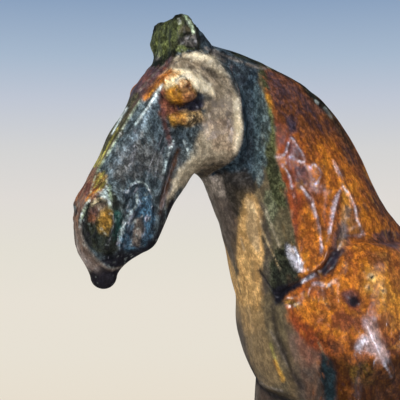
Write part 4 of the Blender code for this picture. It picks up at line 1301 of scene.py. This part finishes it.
HEAD_RUNS = [
    Run("plum on the forehead", HEAD, PLUM, 2.2, 2.0, 0.7, [
        (143, 96), (152, 83), (162, 71), (172, 63),
    ]),
    Run("amber on the forehead", HEAD, BRIGHT_AMBER, 2.6, 3.0, 0.95, [
        (145, 99), (152, 89), (160, 79), (169, 71),
    ]),
    Run("gold on the forehead", HEAD, GOLD, 1.4, 2.0, 0.9, [(149, 96), (156, 87), (163, 80)]),
    Run("brown line on the forehead", HEAD, PURPLE_BROWN, 0.9, 1.5, 0.8, [
        (148, 93), (155, 84), (163, 76),
    ]),
    # Painted bluish sheen along the nose's side, partly the glaze's own blue, and a painted highlight on its
    # ridge.
    Run("sky on the upper nose", HEAD, SKY, 3.0, 4.0, 0.45, [(150, 112), (143, 124), (136, 136)]),
    Run("sky on the lower nose", HEAD, SKY, 4.0, 4.0, 0.25, [(136, 136), (124, 152), (112, 170)]),
    Run("sky beside the eye", HEAD, SKY, 2.6, 2.0, 0.45, [(157, 97), (150, 108), (145, 118)]),
    Run("gleam on the side ridge", HEAD, ICE, 1.15, 0.5, 0.9, [
        (162, 85), (155, 96), (148, 107), (142, 115), (135, 125),
    ]),
    Run("lilac line on the forehead", HEAD, LILAC_GREY, 1.0, 1.2, 0.6, [
        (140, 90), (152, 76), (166, 63),
    ]),
    # Painted highlights along the nasal edge: pale blue, pale green, yellow green and lilac lines.
    Run("gleam on the nasal edge", HEAD, ICE, 0.8, 0.8, 0.7, [(127, 108), (119, 121), (112, 134)]),
    Run("leaf green nasal edge", HEAD, LEAF, 0.8, 1.4, 0.8, NASAL_EDGE[1:7]),
    Run("yellow green on the bridge", HEAD, YELLOW_GREEN, 0.9, 1.6, 0.7, [
        (118, 128), (107, 148), (98, 166),
    ]),
    Run("pale nasal edge", HEAD, LILAC_GREY, 1.2, 0.8, 0.8, NASAL_EDGE[6:]),
    Run("tear line", HEAD, PLUM, 2.4, 1.5, 0.75, TEAR_LINE[1:]),
    Run("front of the brow", HEAD, SHADED_BROWN, 1.2, 0.8, 0.85, [(173, 55), (172, 62)]),
    Run("brow fold", HEAD, SHADED_BROWN, 1.2, 1.5, 0.6, BROW_FOLD[1:]),
    Run("shade of the brow fold", HEAD, NIGHT_SLATE, 3.0, 2.0, 0.25, BROW_FOLD[3:]),
    Run("lid fold", HEAD, SHADED_BROWN, 1.2, 1.0, 0.6, LID_FOLD),
    Run("shade of the outer corner", HEAD, NIGHT_SLATE, 4.0, 2.0, 0.7, [(200, 96), (208, 98)]),
    # Painted highlight on the lid's outer crest.
    Run("pale end of the lid", HEAD, PALE_CREAM, 1.3, 1.0, 0.8, [(209, 84), (212, 90), (214, 95)]),
    Run("line under the pupil", HEAD, DARK_BROWN, 0.8, 1.0, 0.7, [
        (175, 88), (180, 92), (187, 92), (193, 88),
    ]),
    Run("line in the eyeball", HEAD, DARK_BROWN, 0.8, 0.8, 0.7, [(183, 97), (190, 98), (196, 94)]),
    Run("ring of the pupil", HEAD, DARK_BROWN, 0.8, 1.0, 0.6, [(183, 82), (187, 84), (187, 87)]),
    Run("grey line on the lid", HEAD, SLATE, 0.8, 1.6, 0.7, [
        (175, 81), (178, 78), (183, 76), (186, 79),
    ]),
    # Painted shade in the outer corner.
    Run("outer corner", HEAD, INK, 1.4, 0.5, 0.9, [(198, 93), (200, 95)]),
    Run("amber line on the lid", HEAD, AMBER, 1.0, 1.4, 0.7, [(158, 84), (164, 77), (172, 71)]),
    Run("jaw groove", HEAD, DARK_BROWN, 3.2, 1.5, 0.9, JAW_GROOVE),
    # Painted highlight on the jaw ridge.
    Run("gleam on the jaw ridge", HEAD, ICE, 0.6, 0.4, 0.85, [
        (176, 140), (173.5, 141), (170, 150), (166, 163), (163, 176),
    ]),
    Run("scratch under the eye", HEAD, ICE, 0.5, 0.5, 0.5, [(184, 141), (187, 150), (190, 160)]),
    Run("mouth groove", HEAD, INK, 2.4, 1.5, 0.85, MOUTH_GROOVE),
    # Painted highlights on the rim of the mouth pad, on the lip's edge and behind the nostril.
    Run("mouth arch", HEAD, FROST, 0.6, 1.2, 0.7, MOUTH_ARCH[:5]),
    Run("lip edge", HEAD, FROST, 1.0, 1.6, 0.7, LIP_EDGE),
    Run("gleam behind the nostril", HEAD, FROST, 1.0, 1.2, 0.5, [(120, 207), (123, 211), (126, 214)]),
    Run("yellow green over the nostril", HEAD, YELLOW_GREEN, 1.2, 1.0, 0.9, [
        (104, 172), (99, 179), (95, 187),
    ]),
    Run("second yellow green line", HEAD, YELLOW_GREEN, 1.0, 1.0, 0.8, [
        (106, 181), (101, 187), (95, 192),
    ]),
    # Painted highlight behind the nostril.
    Run("frost behind the nostril", HEAD, FROST, 0.9, 1.0, 0.8, [
        (107, 178), (106, 186), (109, 194), (110, 206),
    ]),
    Run("amber over the nostril", HEAD, BRIGHT_AMBER, 1.2, 1.2, 0.9, [(97, 189), (91, 194), (86, 200)]),
    # Painted highlights on the nostril's rim and over it.
    Run("butter rim of the nostril", HEAD, BUTTER, 1.0, 1.4, 0.6, [
        (92.5, 205), (96, 200.6), (101, 198.7), (106, 200),
    ]),
    Run("frost over the nostril", HEAD, FROST, 1.0, 1.4, 0.7, [(99, 192), (105, 196), (109, 200)]),
    Run("slate on the mouth pad", HEAD, SLATE, 5, 3, 0.4, [(128, 203), (134, 195), (141, 188)]),
    # Painted highlight over the nostril.
    Run("bright frost over the nostril", HEAD, FROST, 2.2, 1.5, 0.6, [(103, 192), (104, 198)]),
    Run("leaf green behind the nostril", HEAD, LEAF, 1.3, 1.4, 0.7, [
        (109.5, 186), (110, 198), (110, 208),
    ]),
    # Painted highlight on the nostril's front rim.
    Run("gleam on the front rim", HEAD, ICE, 0.7, 1.0, 0.6, [
        (90, 200), (84, 207.5), (80.6, 217), (80, 226),
    ]),
    Run("teal behind the nostril", HEAD, TEAL_GREEN, 4.4, 3.0, 0.65, [
        (118, 214), (120, 226), (117, 237),
    ]),
    # Painted highlights over the nostril and on the lip edge.
    Run("gleam over the nostril", HEAD, ICE, 0.8, 1.0, 0.8, [(104, 190), (107, 196), (109, 203)]),
    Run("gleam on the lip edge", HEAD, ICE, 0.6, 1.8, 0.5, [
        (137.5, 190), (137.5, 200), (134, 209), (131, 212), (127, 220), (124, 228), (121, 236),
    ]),
    Run("rust ring in the nostril", HEAD, RUST, 0.8, 0.3, 0.8, [
        (90, 218), (92.5, 215.5), (95, 218), (92.5, 220.5), (90, 218),
    ]),
    Run("pink of the upper lip", HEAD, PINK_GREY, 3.6, 1.5, 0.35, [(87, 262), (92, 266), (98, 269)]),
]


PATCHES = [
    *NECK_PATCHES, *SHOULDER_PATCHES, *THROAT_PATCHES, *HEAD_PATCHES, *EYE_PATCHES, *EAR_PATCHES,
]
RUNS = NECK_RUNS + HEAD_RUNS

# Where the breast turns under, on the far side that shows past it: a painted highlight runs along it, with
# painted shadow under it
BREAST_EDGE = [(254, 366), (257, 373), (264, 382), (275, 390), (290, 398), (300, 401)]
# Spots of the near side that the weather has dulled: the pixel and the radius in pixels
DULL_SPOTS = [
    ((378, 284), 20), ((364, 262), 14), ((373, 306), 14), ((324, 314), 20), ((342, 272), 14),
    ((352, 392), 14), ((182, 92), 16), ((322, 291), 9), ((302, 297), 9), ((350, 299), 9),
]
# How shiny the neck is away from its folds, and how wide it is shiny along them, in pixels
NECK_GLOSS = 0.2
GLOSSY_WIDTH = 2.5
# The rows of the photograph between which the neck has golden blotches
GOLD_TOP_V = 150
GOLD_FOOT_V = 350
# The head's glazes end at this X, in mm
HEAD_BACK_X = -130
# The hidden legs' glazes: where each is full and where it starts (Z), how far it drips, strength
LEG_GLAZES = [
    (DARK_BROWN, 190, 216, 14, 0.85),
    (TAN, 110, 150, 22, 0.85),
    (OLIVE, 40, 70, 16, 0.7),
    (FOREST, 28, 36, 5, 0.9),
]


class Coat:
    """The glaze at each point of the skin: colour, mottling colour, its strength, and gloss."""

    def __init__(self, count, glaze):
        self.colours = np.tile(np.array(glaze.colour), (count, 1))
        self.seconds = np.tile(np.array(glaze.second), (count, 1))
        self.rich = np.full(count, float(glaze.rich))
        self.gloss = np.full(count, float(glaze.gloss))
        self.fleck = np.full(count, float(glaze.fleck))

    def lay(self, glaze, share):
        """Lays more glaze on, as far as `share` says at each point."""
        self.colours += (np.array(glaze.colour) - self.colours) * share[:, None]
        self.seconds += (np.array(glaze.second) - self.seconds) * share[:, None]
        self.rich += (glaze.rich - self.rich) * share
        self.gloss += (glaze.gloss - self.gloss) * share
        self.fleck += (glaze.fleck - self.fleck) * share


def painted(points):
    """The coat of glaze on the skin's points."""
    pixels = to_pixels(fold_over(points))
    parts = shares_of_parts(points)
    flow = streaming(points, squeeze=0.45)
    wander = cloudy_noise(flow, size=9, seed=11)
    fray = cloudy_noise(streaming(points, squeeze=0.3), size=3.2, seed=17)

    coat = Coat(len(points), AMBER)
    tone = cloudy_noise(flow, size=14, seed=23)
    coat.lay(BRIGHT_AMBER, smooth_step(tone, low=0.0, high=0.7) * 0.6)
    coat.lay(RED_BROWN, smooth_step(-tone, low=0.0, high=0.7) * 0.6)
    glaze_hidden_parts(coat, points)
    for patch in PATCHES:
        edge = signed_distance(pixels, patch.pixels) + (0.6 * wander + 0.7 * fray) * patch.ragged
        share = smooth_step(edge, -0.4 * patch.soft, 0.4 * patch.soft) * parts[patch.part]
        coat.lay(patch.colour, share * patch.strength)
    add_flecks(coat, points, pixels, parts)
    broken = 0.35 + 0.65 * smooth_step(cloudy_noise(points, size=4.0, seed=97), low=-0.3, high=0.1)
    for run in RUNS:
        away, _ = distance_along(pixels, curve_through(run.pixels, pieces=3))
        away = np.maximum(away + (wander + fray) * run.ragged * 0.4, 0)
        share = np.exp(-((away / run.width) ** 2)) * parts[run.part]
        if run.part == NEAR_NECK:
            share *= broken
        coat.lay(run.colour, share * run.strength)
    paint_far_chest(coat, points)
    dull(coat, points, pixels, parts[NECK])
    paint_dents(coat, pixels, fray, parts[NECK])
    return coat


def shares_of_parts(points):
    """How far each point belongs to each part of the horse, from 0 to 1."""
    head_depth = depth_field(points, head_lumps() + ear_and_forelock_lumps(), [])
    neck_depth = depth_field(points, neck_lumps() + body_lumps(), [])
    on_head = smooth_step(neck_depth - head_depth, low=-6, high=-3.5) * (points[:, 0] < HEAD_BACK_X)
    in_view = smooth_step(-points[:, 0], low=-10, high=30)
    in_view *= smooth_step(points[:, 2], low=172, high=200)
    on_neck = (1 - on_head) * in_view
    near_side = smooth_step(-points[:, 1], low=-4, high=4)
    return {ALL: np.ones(len(points)), HEAD: on_head, NECK: on_neck, NEAR_NECK: on_neck * near_side}


def streaming(points, squeeze):
    """Points squeezed along the way that the glaze ran, down and a little back."""
    lean = 0.35
    down = (points[:, 2] - lean * points[:, 0]) / math.hypot(1, lean)
    across = (points[:, 0] + lean * points[:, 2]) / math.hypot(1, lean)
    return np.column_stack((across, points[:, 1], down * squeeze))


def glaze_hidden_parts(coat, points):
    """The trunk, legs, hooves and tail, which the photograph cuts off."""
    x, z = points[:, 0], points[:, 2]
    drip = cloudy_noise(points * (1, 1, 0.3), size=11, seed=41)
    blot = cloudy_noise(points, size=34, seed=47)
    on_trunk = smooth_step(x, low=-30, high=10)
    coat.lay(CREAM, smooth_step(blot + 0.3 * drip, low=0.25, high=0.5) * on_trunk * 0.85)
    coat.lay(FOREST, smooth_step(-blot + 0.4 * drip, low=0.35, high=0.6) * on_trunk * 0.7)
    for glaze, full_z, start_z, drip_length, strength in LEG_GLAZES:
        coat.lay(glaze, smooth_step(-(z + drip_length * drip), -start_z, -full_z) * strength)
    coat.lay(FOREST, smooth_step(x, low=158, high=166) * 0.9)


def add_flecks(coat, points, pixels, parts):
    """Blotches, specks and veins where the glazes ran into each other."""
    u, v = pixels[:, 0], pixels[:, 1]
    on_amber = parts[NECK] * smooth_step(u - 0.1 * v, low=255, high=275)
    streaks = cloudy_noise(streaming(points, squeeze=0.35), size=2.6, seed=53)
    coat.lay(PURPLE_BROWN, smooth_step(streaks, low=0.32, high=0.6) * 0.6 * on_amber)
    blotches = cloudy_noise(streaming(points, squeeze=0.45), size=6.0, seed=83)
    upper = smooth_step(-v, low=-250, high=-220)
    dark = smooth_step(blotches, low=0.22, high=0.5) * (0.25 + 0.5 * upper)
    coat.lay(PURPLE_BROWN, dark * on_amber)
    gold = smooth_step(-blotches, low=0.3, high=0.6) * (v > GOLD_TOP_V) * (v < GOLD_FOOT_V)
    coat.lay(GOLD, gold * 0.35 * on_amber)
    specks = cloudy_noise(points, size=2.2, seed=59)
    low_head = smooth_step(-points[:, 2], low=-345, high=-335) * parts[HEAD]
    coat.lay(FROST, smooth_step(specks, low=0.5, high=0.7) * 0.35 * low_head)
    coat.lay(INK, smooth_step(-specks, low=0.4, high=0.6) * 0.6 * low_head)
    veins = cloudy_noise(points * (1, 1, 0.8), size=5, seed=71)
    high_head = smooth_step(points[:, 2], low=335, high=345) * parts[HEAD]
    dusty = np.linalg.norm(coat.colours - np.array(SLATE.colour), axis=1) < 0.08
    coat.lay(NIGHT_SLATE, smooth_step(0.12 - np.abs(veins), low=0, high=0.1) * 0.6 * high_head * dusty)


def paint_far_chest(coat, points):
    """The breast's far side: dusky, with painted shadow under a painted highlight where it turns under."""
    pixels = to_pixels(points)
    far_chest = smooth_step(points[:, 1], low=2, high=10)
    far_chest *= smooth_step(-points[:, 0], low=92, high=104)
    far_chest *= smooth_step(points[:, 2], low=165, high=205)
    coat.lay(DUSK, far_chest * smooth_step(-points[:, 2], low=-275, high=-250) * 0.95)
    away, _ = distance_along(pixels, BREAST_EDGE)
    beside, _ = distance_along(pixels, [(u - 2, v + 4) for u, v in BREAST_EDGE])
    # Painted shadow under the edge, and a painted highlight along it.
    coat.lay(INK, np.exp(-((beside / 3.4) ** 2)) * 0.9 * far_chest)
    coat.lay(LILAC_HIGHLIGHT, np.exp(-((away / 1.1) ** 2)) * 0.6 * far_chest)


def dull(coat, points, pixels, on_neck):
    """Leaves the near side shiny along the folds and mostly dull between them."""
    near_side = points[:, 1] < 0
    folds = np.zeros(len(points))
    for fold in SKIN_FOLDS + GLAZE_JAGS:
        away, _ = distance_along(pixels, fold)
        folds = np.maximum(folds, np.exp(-((away / GLOSSY_WIDTH) ** 2)))
    above_fold = on_neck * near_side * smooth_step(-pixels[:, 1], low=-250, high=-238)
    coat.gloss *= 1 - (1 - NECK_GLOSS) * (1 - folds) * above_fold
    for pixel, radius in DULL_SPOTS:
        away = np.linalg.norm(pixels - pixel, axis=1)
        coat.gloss *= 1 - 0.85 * smooth_step(-away, -radius, -0.6 * radius) * near_side


def paint_dents(coat, pixels, fray, on_neck):
    """Painted shade in the shoulder's dent, and golden halos with dark hearts round the pits."""
    away = np.linalg.norm(pixels - SHOULDER_DENT.pixel, axis=1) + fray * 0.8
    # Painted shade in the shoulder's dent.
    coat.lay(INK, smooth_step(-away, low=-7.0, high=-3.8) * 0.95 * on_neck)
    for pit in PITS:
        away = np.linalg.norm(pixels - pit.pixel, axis=1) + fray * 0.8
        coat.lay(HONEY, np.exp(-((away / 4.6) ** 2)) * 0.85 * on_neck)
        coat.lay(BUTTER, np.exp(-((away / 2.8) ** 2)) * 0.5 * on_neck)
        coat.lay(INK, smooth_step(-away, low=-2.3, high=-1.3) * 0.97 * on_neck)


# The bare clay, light and dark, and the dirt on it
DARK_BUFF = (0.50, 0.38, 0.25, 1)
PALE_BUFF = (0.64, 0.54, 0.40, 1)
CLAY_DIRT = (0.26, 0.17, 0.1, 1)

# The slab's rounded edges and its mesh, and the glaze pooled round each hoof, in mm
SLAB_ROUNDING = 3
SLAB_VOXEL = 1.7
POOL_INNER = 15
POOL_OUTER = 27

# The floor's radius in m, and its colour
FLOOR_RADIUS = 0.95
FLOOR_COLOUR = (0.76, 0.73, 0.68, 1)

BROAD_LAMPS = [
    Lamp("key", (1, -0.32, 0.64), 1.3, 36, 0.36, 0.36, (1.0, 0.97, 0.95)),
    Lamp("fill", (1, -0.5, 0.9), 1.7, 1.3, 1.6, 1.6, (1.0, 0.98, 0.96)),
    Lamp("side", (0.64, 0.74, 0.3), 1.2, 5, 0.4, 0.4, (0.97, 0.95, 1.0)),
]
NARROW_LAMPS = [
    Lamp("window", (0.84, -0.3, 0.55), 1.3, 70, 0.16, 0.3, (0.96, 0.98, 1.0)),
    Lamp("strip", (0.61, 0.77, 0.14), 1.2, 180, 0.04, 0.6, (0.93, 0.90, 1.0)),
    Lamp("low_window", (0.68, 0.70, -0.20), 1.2, 30, 0.40, 0.40, (0.86, 0.86, 1.0)),
]

# The studio's colours straight down, straight up and behind the camera
STUDIO_FOOT = (0.10, 0.09, 0.075, 1)
STUDIO_TOP = (0.04, 0.06, 0.09, 1)
STUDIO_BACK = (0.16, 0.17, 0.19, 1)
# The studio's colours at the heights (the sine of the elevation) where they are
BACKGROUND = [
    (-0.5, (0.30, 0.27, 0.22)),
    (-0.24, (0.80, 0.72, 0.60)),
    (-0.157, (0.80, 0.75, 0.655)),
    (-0.104, (0.80, 0.75, 0.665)),
    (-0.052, (0.765, 0.734, 0.655)),
    (0.0, (0.735, 0.702, 0.668)),
    (0.052, (0.653, 0.653, 0.653)),
    (0.104, (0.52, 0.565, 0.655)),
    (0.146, (0.39, 0.485, 0.61)),
    (0.203, (0.258, 0.36, 0.52)),
    (0.34, (0.12, 0.18, 0.27)),
]


def node(tree, kind, sockets=(), **settings):
    made = tree.nodes.new("ShaderNode" + kind)
    for key, value in settings.items():
        setattr(made, key, value)
    for key, value in dict(sockets).items():
        if isinstance(value, bpy.types.NodeSocket):
            tree.links.new(value, made.inputs[key])
        else:
            made.inputs[key].default_value = value
    return made


def new_material(name):
    material = bpy.data.materials.new(name)
    material.use_nodes = True
    return material, material.node_tree, material.node_tree.nodes["Principled BSDF"]


def noise_at(tree, place, size, detail=3.0, rough=0.55, stretch=1.0):
    """Noise with lumps about `size` mm across, longer along Z where stretch is above 1."""
    scaled = node(tree, "Mapping", {"Vector": place, "Scale": (1, 1, 1 / stretch)}).outputs[0]
    sockets = {"Vector": scaled, "Scale": 1 / (size * MM), "Detail": detail, "Roughness": rough}
    return node(tree, "TexNoise", sockets).outputs[0]


def ramp(tree, value, low, high, to_low=0.0, to_high=1.0, shape="SMOOTHSTEP"):
    sockets = {"Value": value, "From Min": low, "From Max": high, "To Min": to_low, "To Max": to_high}
    return node(tree, "MapRange", sockets, interpolation_type=shape).outputs[0]


def maths(tree, operation, a, b, c=0.0):
    return node(tree, "Math", {0: a, 1: b, 2: c}, operation=operation).outputs[0]


def mixed(tree, share, a, b):
    return node(tree, "Mix", {0: share, 6: a, 7: b}, data_type="RGBA").outputs[2]


def painted_value(tree, name, output="Fac"):
    return node(tree, "Attribute", attribute_name=name).outputs[output]


def glaze_material():
    """Lead glaze over the painted colours: veined, flecked, thick and shiny."""
    material, tree, shader = new_material("sancai_glaze")
    place = node(tree, "TexCoord").outputs["Object"]
    lean = node(tree, "Mapping", {"Vector": place, "Rotation": (0, 0.34, 0)}).outputs[0]
    specks = noise_at(tree, lean, size=1.9, detail=3, rough=0.6, stretch=1.7)
    clouds = noise_at(tree, lean, size=8, detail=4, rough=0.6, stretch=1.5)
    blots = noise_at(tree, lean, size=3.2, detail=3, rough=0.55, stretch=1.3)
    grain = noise_at(tree, lean, size=1.0, detail=2, rough=0.6, stretch=1.3)

    both = maths(tree, "MULTIPLY_ADD", clouds, 0.6, maths(tree, "MULTIPLY", specks, 0.4))
    veined = ramp(tree, both, low=0.44, high=0.575)
    mottled = maths(tree, "MULTIPLY", veined, painted_value(tree, "rich"))
    base, second = painted_value(tree, "glaze", "Color"), painted_value(tree, "second", "Color")
    shaded = mixed(tree, mottled, base, second)
    coarse = ramp(tree, blots, low=0.41, high=0.61, to_low=0.5, to_high=1.6)
    fine = ramp(tree, grain, low=0.36, high=0.64, to_low=0.6, to_high=1.45)
    uneven_light = maths(tree, "SUBTRACT", maths(tree, "MULTIPLY", coarse, fine), 1.0)
    light = maths(tree, "MULTIPLY_ADD", uneven_light, painted_value(tree, "fleck"), 1.0)
    lit = node(tree, "VectorMath", {0: shaded, 3: light}, operation="SCALE").outputs[0]
    tree.links.new(lit, shader.inputs["Base Color"])

    gloss = painted_value(tree, "gloss")
    roughness = ramp(tree, gloss, low=0, high=1, to_low=0.78, to_high=0.34)
    roughness = maths(tree, "SUBTRACT", roughness, 0.08)
    tree.links.new(maths(tree, "MULTIPLY_ADD", clouds, 0.16, roughness), shader.inputs["Roughness"])
    facing = node(tree, "LayerWeight", {"Blend": 0.5}).outputs["Facing"]
    edge_loss = ramp(tree, facing, low=0.5, high=0.85, to_low=1.0, to_high=0.06)
    tree.links.new(maths(tree, "MULTIPLY", gloss, edge_loss), shader.inputs["Coat Weight"])
    shader.inputs["Specular IOR Level"].default_value = 0.04
    shader.inputs["Coat Roughness"].default_value = 0.07
    shader.inputs["Coat IOR"].default_value = 1.32

    waves = noise_at(tree, place, size=5.5, detail=2, rough=0.5, stretch=1.6)
    pores = noise_at(tree, place, size=1.3, detail=3, rough=0.6)
    high = maths(tree, "MULTIPLY_ADD", waves, 4.0, pores)
    bump = node(tree, "Bump", {"Strength": 0.5, "Distance": 0.25 * MM, "Height": high}).outputs[0]
    tree.links.new(bump, shader.inputs["Normal"])
    tree.links.new(bump, shader.inputs["Coat Normal"])
    return material


def clay_material():
    """Bare buff clay, with the glaze that ran down on it."""
    material, tree, shader = new_material("bare_clay")
    place = node(tree, "TexCoord").outputs["Object"]
    clouds = noise_at(tree, place, size=22, detail=4, rough=0.6)
    grain = noise_at(tree, place, size=1.4, detail=3, rough=0.7)
    clay = mixed(tree, ramp(tree, clouds, low=0.35, high=0.65), DARK_BUFF, PALE_BUFF)
    dirt = ramp(tree, grain, low=0.55, high=0.75, to_high=0.5)
    clay = mixed(tree, dirt, clay, CLAY_DIRT)
    glaze = mixed(tree, ramp(tree, clouds, low=0.4, high=0.62), (*MOSS.colour, 1), (*AMBER.colour, 1))
    frayed = ramp(tree, noise_at(tree, place, size=5), low=0.3, high=0.7, to_low=-0.25, to_high=0.25)
    spilt = maths(tree, "ADD", painted_value(tree, "spill"), frayed)
    wet = ramp(tree, spilt, low=0.42, high=0.55)
    tree.links.new(mixed(tree, wet, clay, glaze), shader.inputs["Base Color"])
    roughness = ramp(tree, wet, low=0, high=1, to_low=0.82, to_high=0.2)
    tree.links.new(roughness, shader.inputs["Roughness"])
    height = maths(tree, "ADD", grain, clouds)
    bump = node(tree, "Bump", {"Strength": 0.4, "Distance": 0.4 * MM, "Height": height}).outputs[0]
    tree.links.new(bump, shader.inputs["Normal"])
    return material


def add_values(mesh, name, kind, values):
    attribute = mesh.attributes.new(name, kind, "POINT")
    key = "color" if kind == "FLOAT_COLOR" else "value"
    attribute.data.foreach_set(key, np.asarray(values, np.float32).ravel())


def make_horse():
    """The glazed horse: the skin, its relief, fewer faces out of sight, then the glaze."""
    mesh = clay_skin()
    points = points_of(mesh)
    raised = relief(mesh)
    lifted = points + normals_of(mesh) * (raised + uneven(points))[:, None]
    lifted[:, 2] = np.maximum(lifted[:, 2], HOOF_BOTTOM)
    move_points(mesh, lifted)
    mesh = lighter(mesh)
    store_paint(mesh)
    return finished_piece("sancai_horse", mesh, glaze_material())


def lighter(mesh):
    """Fewer faces where the photograph doesn't look, down to the most that one piece may have."""
    mesh.calc_loop_triangles()
    count = len(mesh.loop_triangles)
    if count <= MOST_TRIANGLES:
        return mesh
    points = points_of(mesh)
    out_of_sight = smooth_step(points[:, 0], low=-60, high=0)
    out_of_sight += smooth_step(-points[:, 2], low=-235, high=-200)
    weights = np.round(np.clip(0.12 + out_of_sight, 0, 1) * 10) / 10
    ratio = MOST_TRIANGLES / count
    return with_modifier(mesh, "DECIMATE", weights, ratio=ratio, vertex_group_factor=1.0)


def store_paint(mesh):
    points = points_of(mesh)
    coat = painted(points)
    opaque = np.ones(len(points))
    add_values(mesh, "glaze", "FLOAT_COLOR", np.column_stack((coat.colours, opaque)))
    add_values(mesh, "second", "FLOAT_COLOR", np.column_stack((coat.seconds, opaque)))
    add_values(mesh, "rich", "FLOAT", coat.rich)
    add_values(mesh, "gloss", "FLOAT", coat.gloss)
    add_values(mesh, "fleck", "FLOAT", coat.fleck)


def finished_piece(name, mesh, material):
    """The mesh as a smooth piece of one material, under one name."""
    mesh.name = name
    piece = linked(name, mesh)
    mesh.materials.clear()
    mesh.materials.append(material)
    mesh.shade_smooth()
    return piece


def hoof_centres():
    for x in (FORELEG_X - 9, HINDLEG_X - 12):
        for y in (LEG_Y, -LEG_Y):
            yield x, y


def block_mesh(low, high):
    """A plain block between two corners in mm."""
    block = bmesh.new()
    size = Matrix.Diagonal((*((high - low) * MM), 1))
    bmesh.ops.create_cube(block, size=1, matrix=size)
    bmesh.ops.translate(block, vec=Vector((low + high) / 2 * MM), verts=block.verts)
    mesh = bpy.data.meshes.new("block")
    block.to_mesh(mesh)
    block.free()
    return mesh


def make_slab():
    """The slab, with worn edges, a hand-smoothed top and glaze pooled round the hooves."""
    low, high = (np.array(corner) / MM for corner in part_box("base_slab"))
    mesh = with_modifier(block_mesh(low, high), "BEVEL", width=SLAB_ROUNDING * MM, segments=3)
    mesh = with_modifier(mesh, "REMESH", mode="VOXEL", voxel_size=SLAB_VOXEL * MM)
    points = points_of(mesh)
    sink = 0.5 + 0.5 * cloudy_noise(points, size=26, seed=61)
    worn = 0.5 + 0.5 * cloudy_noise(points, size=7, seed=67)
    to_edge = np.minimum(points - low, high - points)[:, :2].min(axis=1)
    wear = smooth_step(-to_edge, low=-5, high=0) * worn
    pool = np.zeros(len(points))
    for x, y in hoof_centres():
        away = np.hypot(points[:, 0] - x, points[:, 1] - y)
        pool = np.maximum(pool, smooth_step(-away, -POOL_OUTER, -POOL_INNER))
    top = smooth_step(points[:, 2], high[2] - 3, high[2])
    outward = -(0.35 * np.abs(sink) + 0.9 * wear) * (1 - pool) + 0.9 * pool * top
    moved = points + normals_of(mesh) * outward[:, None]
    under = points[:, 2] < low[2] + 0.6
    moved[under] = points[under]
    move_points(mesh, moved)
    add_values(mesh, "spill", "FLOAT", pool)
    return finished_piece("clay_slab", mesh, clay_material())


def make_stage():
    """A plain round table top, too small for the photograph's view to reach."""
    mesh = bpy.data.meshes.new("floor")
    disc = bmesh.new()
    bmesh.ops.create_circle(disc, cap_ends=True, segments=96, radius=FLOOR_RADIUS)
    disc.to_mesh(mesh)
    disc.free()
    floor = linked("floor", mesh)
    material, _, shader = new_material("pale_floor")
    shader.inputs["Base Color"].default_value = FLOOR_COLOUR
    shader.inputs["Roughness"].default_value = 0.6
    mesh.materials.append(material)


def make_lamp(lamp):
    """A soft box that faces the horse's head."""
    back, right, up = lamp.way
    towards = Vector(CAMERA_BACK * back + CAMERA_RIGHT * right + np.array((0, 0, up))).normalized()
    light = bpy.data.lights.new(lamp.name, "AREA")
    light.shape = "RECTANGLE"
    light.size = lamp.width
    light.size_y = lamp.height
    light.energy = lamp.radiance * math.pi * lamp.width * lamp.height
    light.color = lamp.colour
    made = linked(lamp.name, light)
    made.location = Vector(CAMERA_AIM * MM) + towards * lamp.distance
    made.rotation_mode = "QUATERNION"
    made.rotation_quaternion = (-towards).to_track_quat("-Z", "Y")
    return made


def make_lights():
    """Broad soft boxes light the glaze, and narrow bright ones show in its gloss."""
    for lamp in BROAD_LAMPS:
        make_lamp(lamp).visible_glossy = False
    for lamp in NARROW_LAMPS:
        make_lamp(lamp).visible_diffuse = False


def make_studio():
    """Pale walls all round, lighter where the camera looks and darker behind it."""
    world = bpy.data.worlds.new("studio")
    bpy.context.scene.world = world
    world.use_nodes = True
    tree = world.node_tree
    way = node(tree, "TexCoord").outputs["Generated"]
    height = node(tree, "SeparateXYZ", {0: way}).outputs[2]
    colours = node(tree, "ValToRGB", {0: ramp(tree, height, low=-1, high=1, shape="LINEAR")})
    stops = colours.color_ramp.elements
    stops[0].position, stops[0].color = 0.0, STUDIO_FOOT
    stops[1].position, stops[1].color = 1.0, STUDIO_TOP
    for at_height, colour in BACKGROUND:
        stops.new((at_height + 1) / 2).color = (*colour, 1)
    forward = tuple(-CAMERA_BACK)
    facing = node(tree, "VectorMath", {0: way, 1: forward}, operation="DOT_PRODUCT").outputs["Value"]
    ahead = ramp(tree, facing, low=-0.2, high=0.5, shape="LINEAR")
    lit = mixed(tree, ahead, STUDIO_BACK, colours.outputs[0])
    tree.links.new(lit, tree.nodes["Background"].inputs[0])


def make_camera():
    camera = linked("camera", bpy.data.cameras.new("camera"))
    camera.location = Vector(CAMERA_PLACE * MM)
    camera.rotation_mode = "QUATERNION"
    camera.rotation_quaternion = Vector(-CAMERA_BACK).to_track_quat("-Z", "Y")
    camera.data.lens = CAMERA_LENS
    camera.data.sensor_width = CAMERA_SENSOR
    camera.data.clip_start = 0.01
    bpy.context.scene.camera = camera


make_camera()
make_lights()
make_studio()
make_stage()

horse = make_horse()
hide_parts("horse")
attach(horse, "root")

slab = make_slab()
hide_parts("base_slab")
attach(slab, "root")

bpy.context.scene.view_settings.view_transform = "Standard"
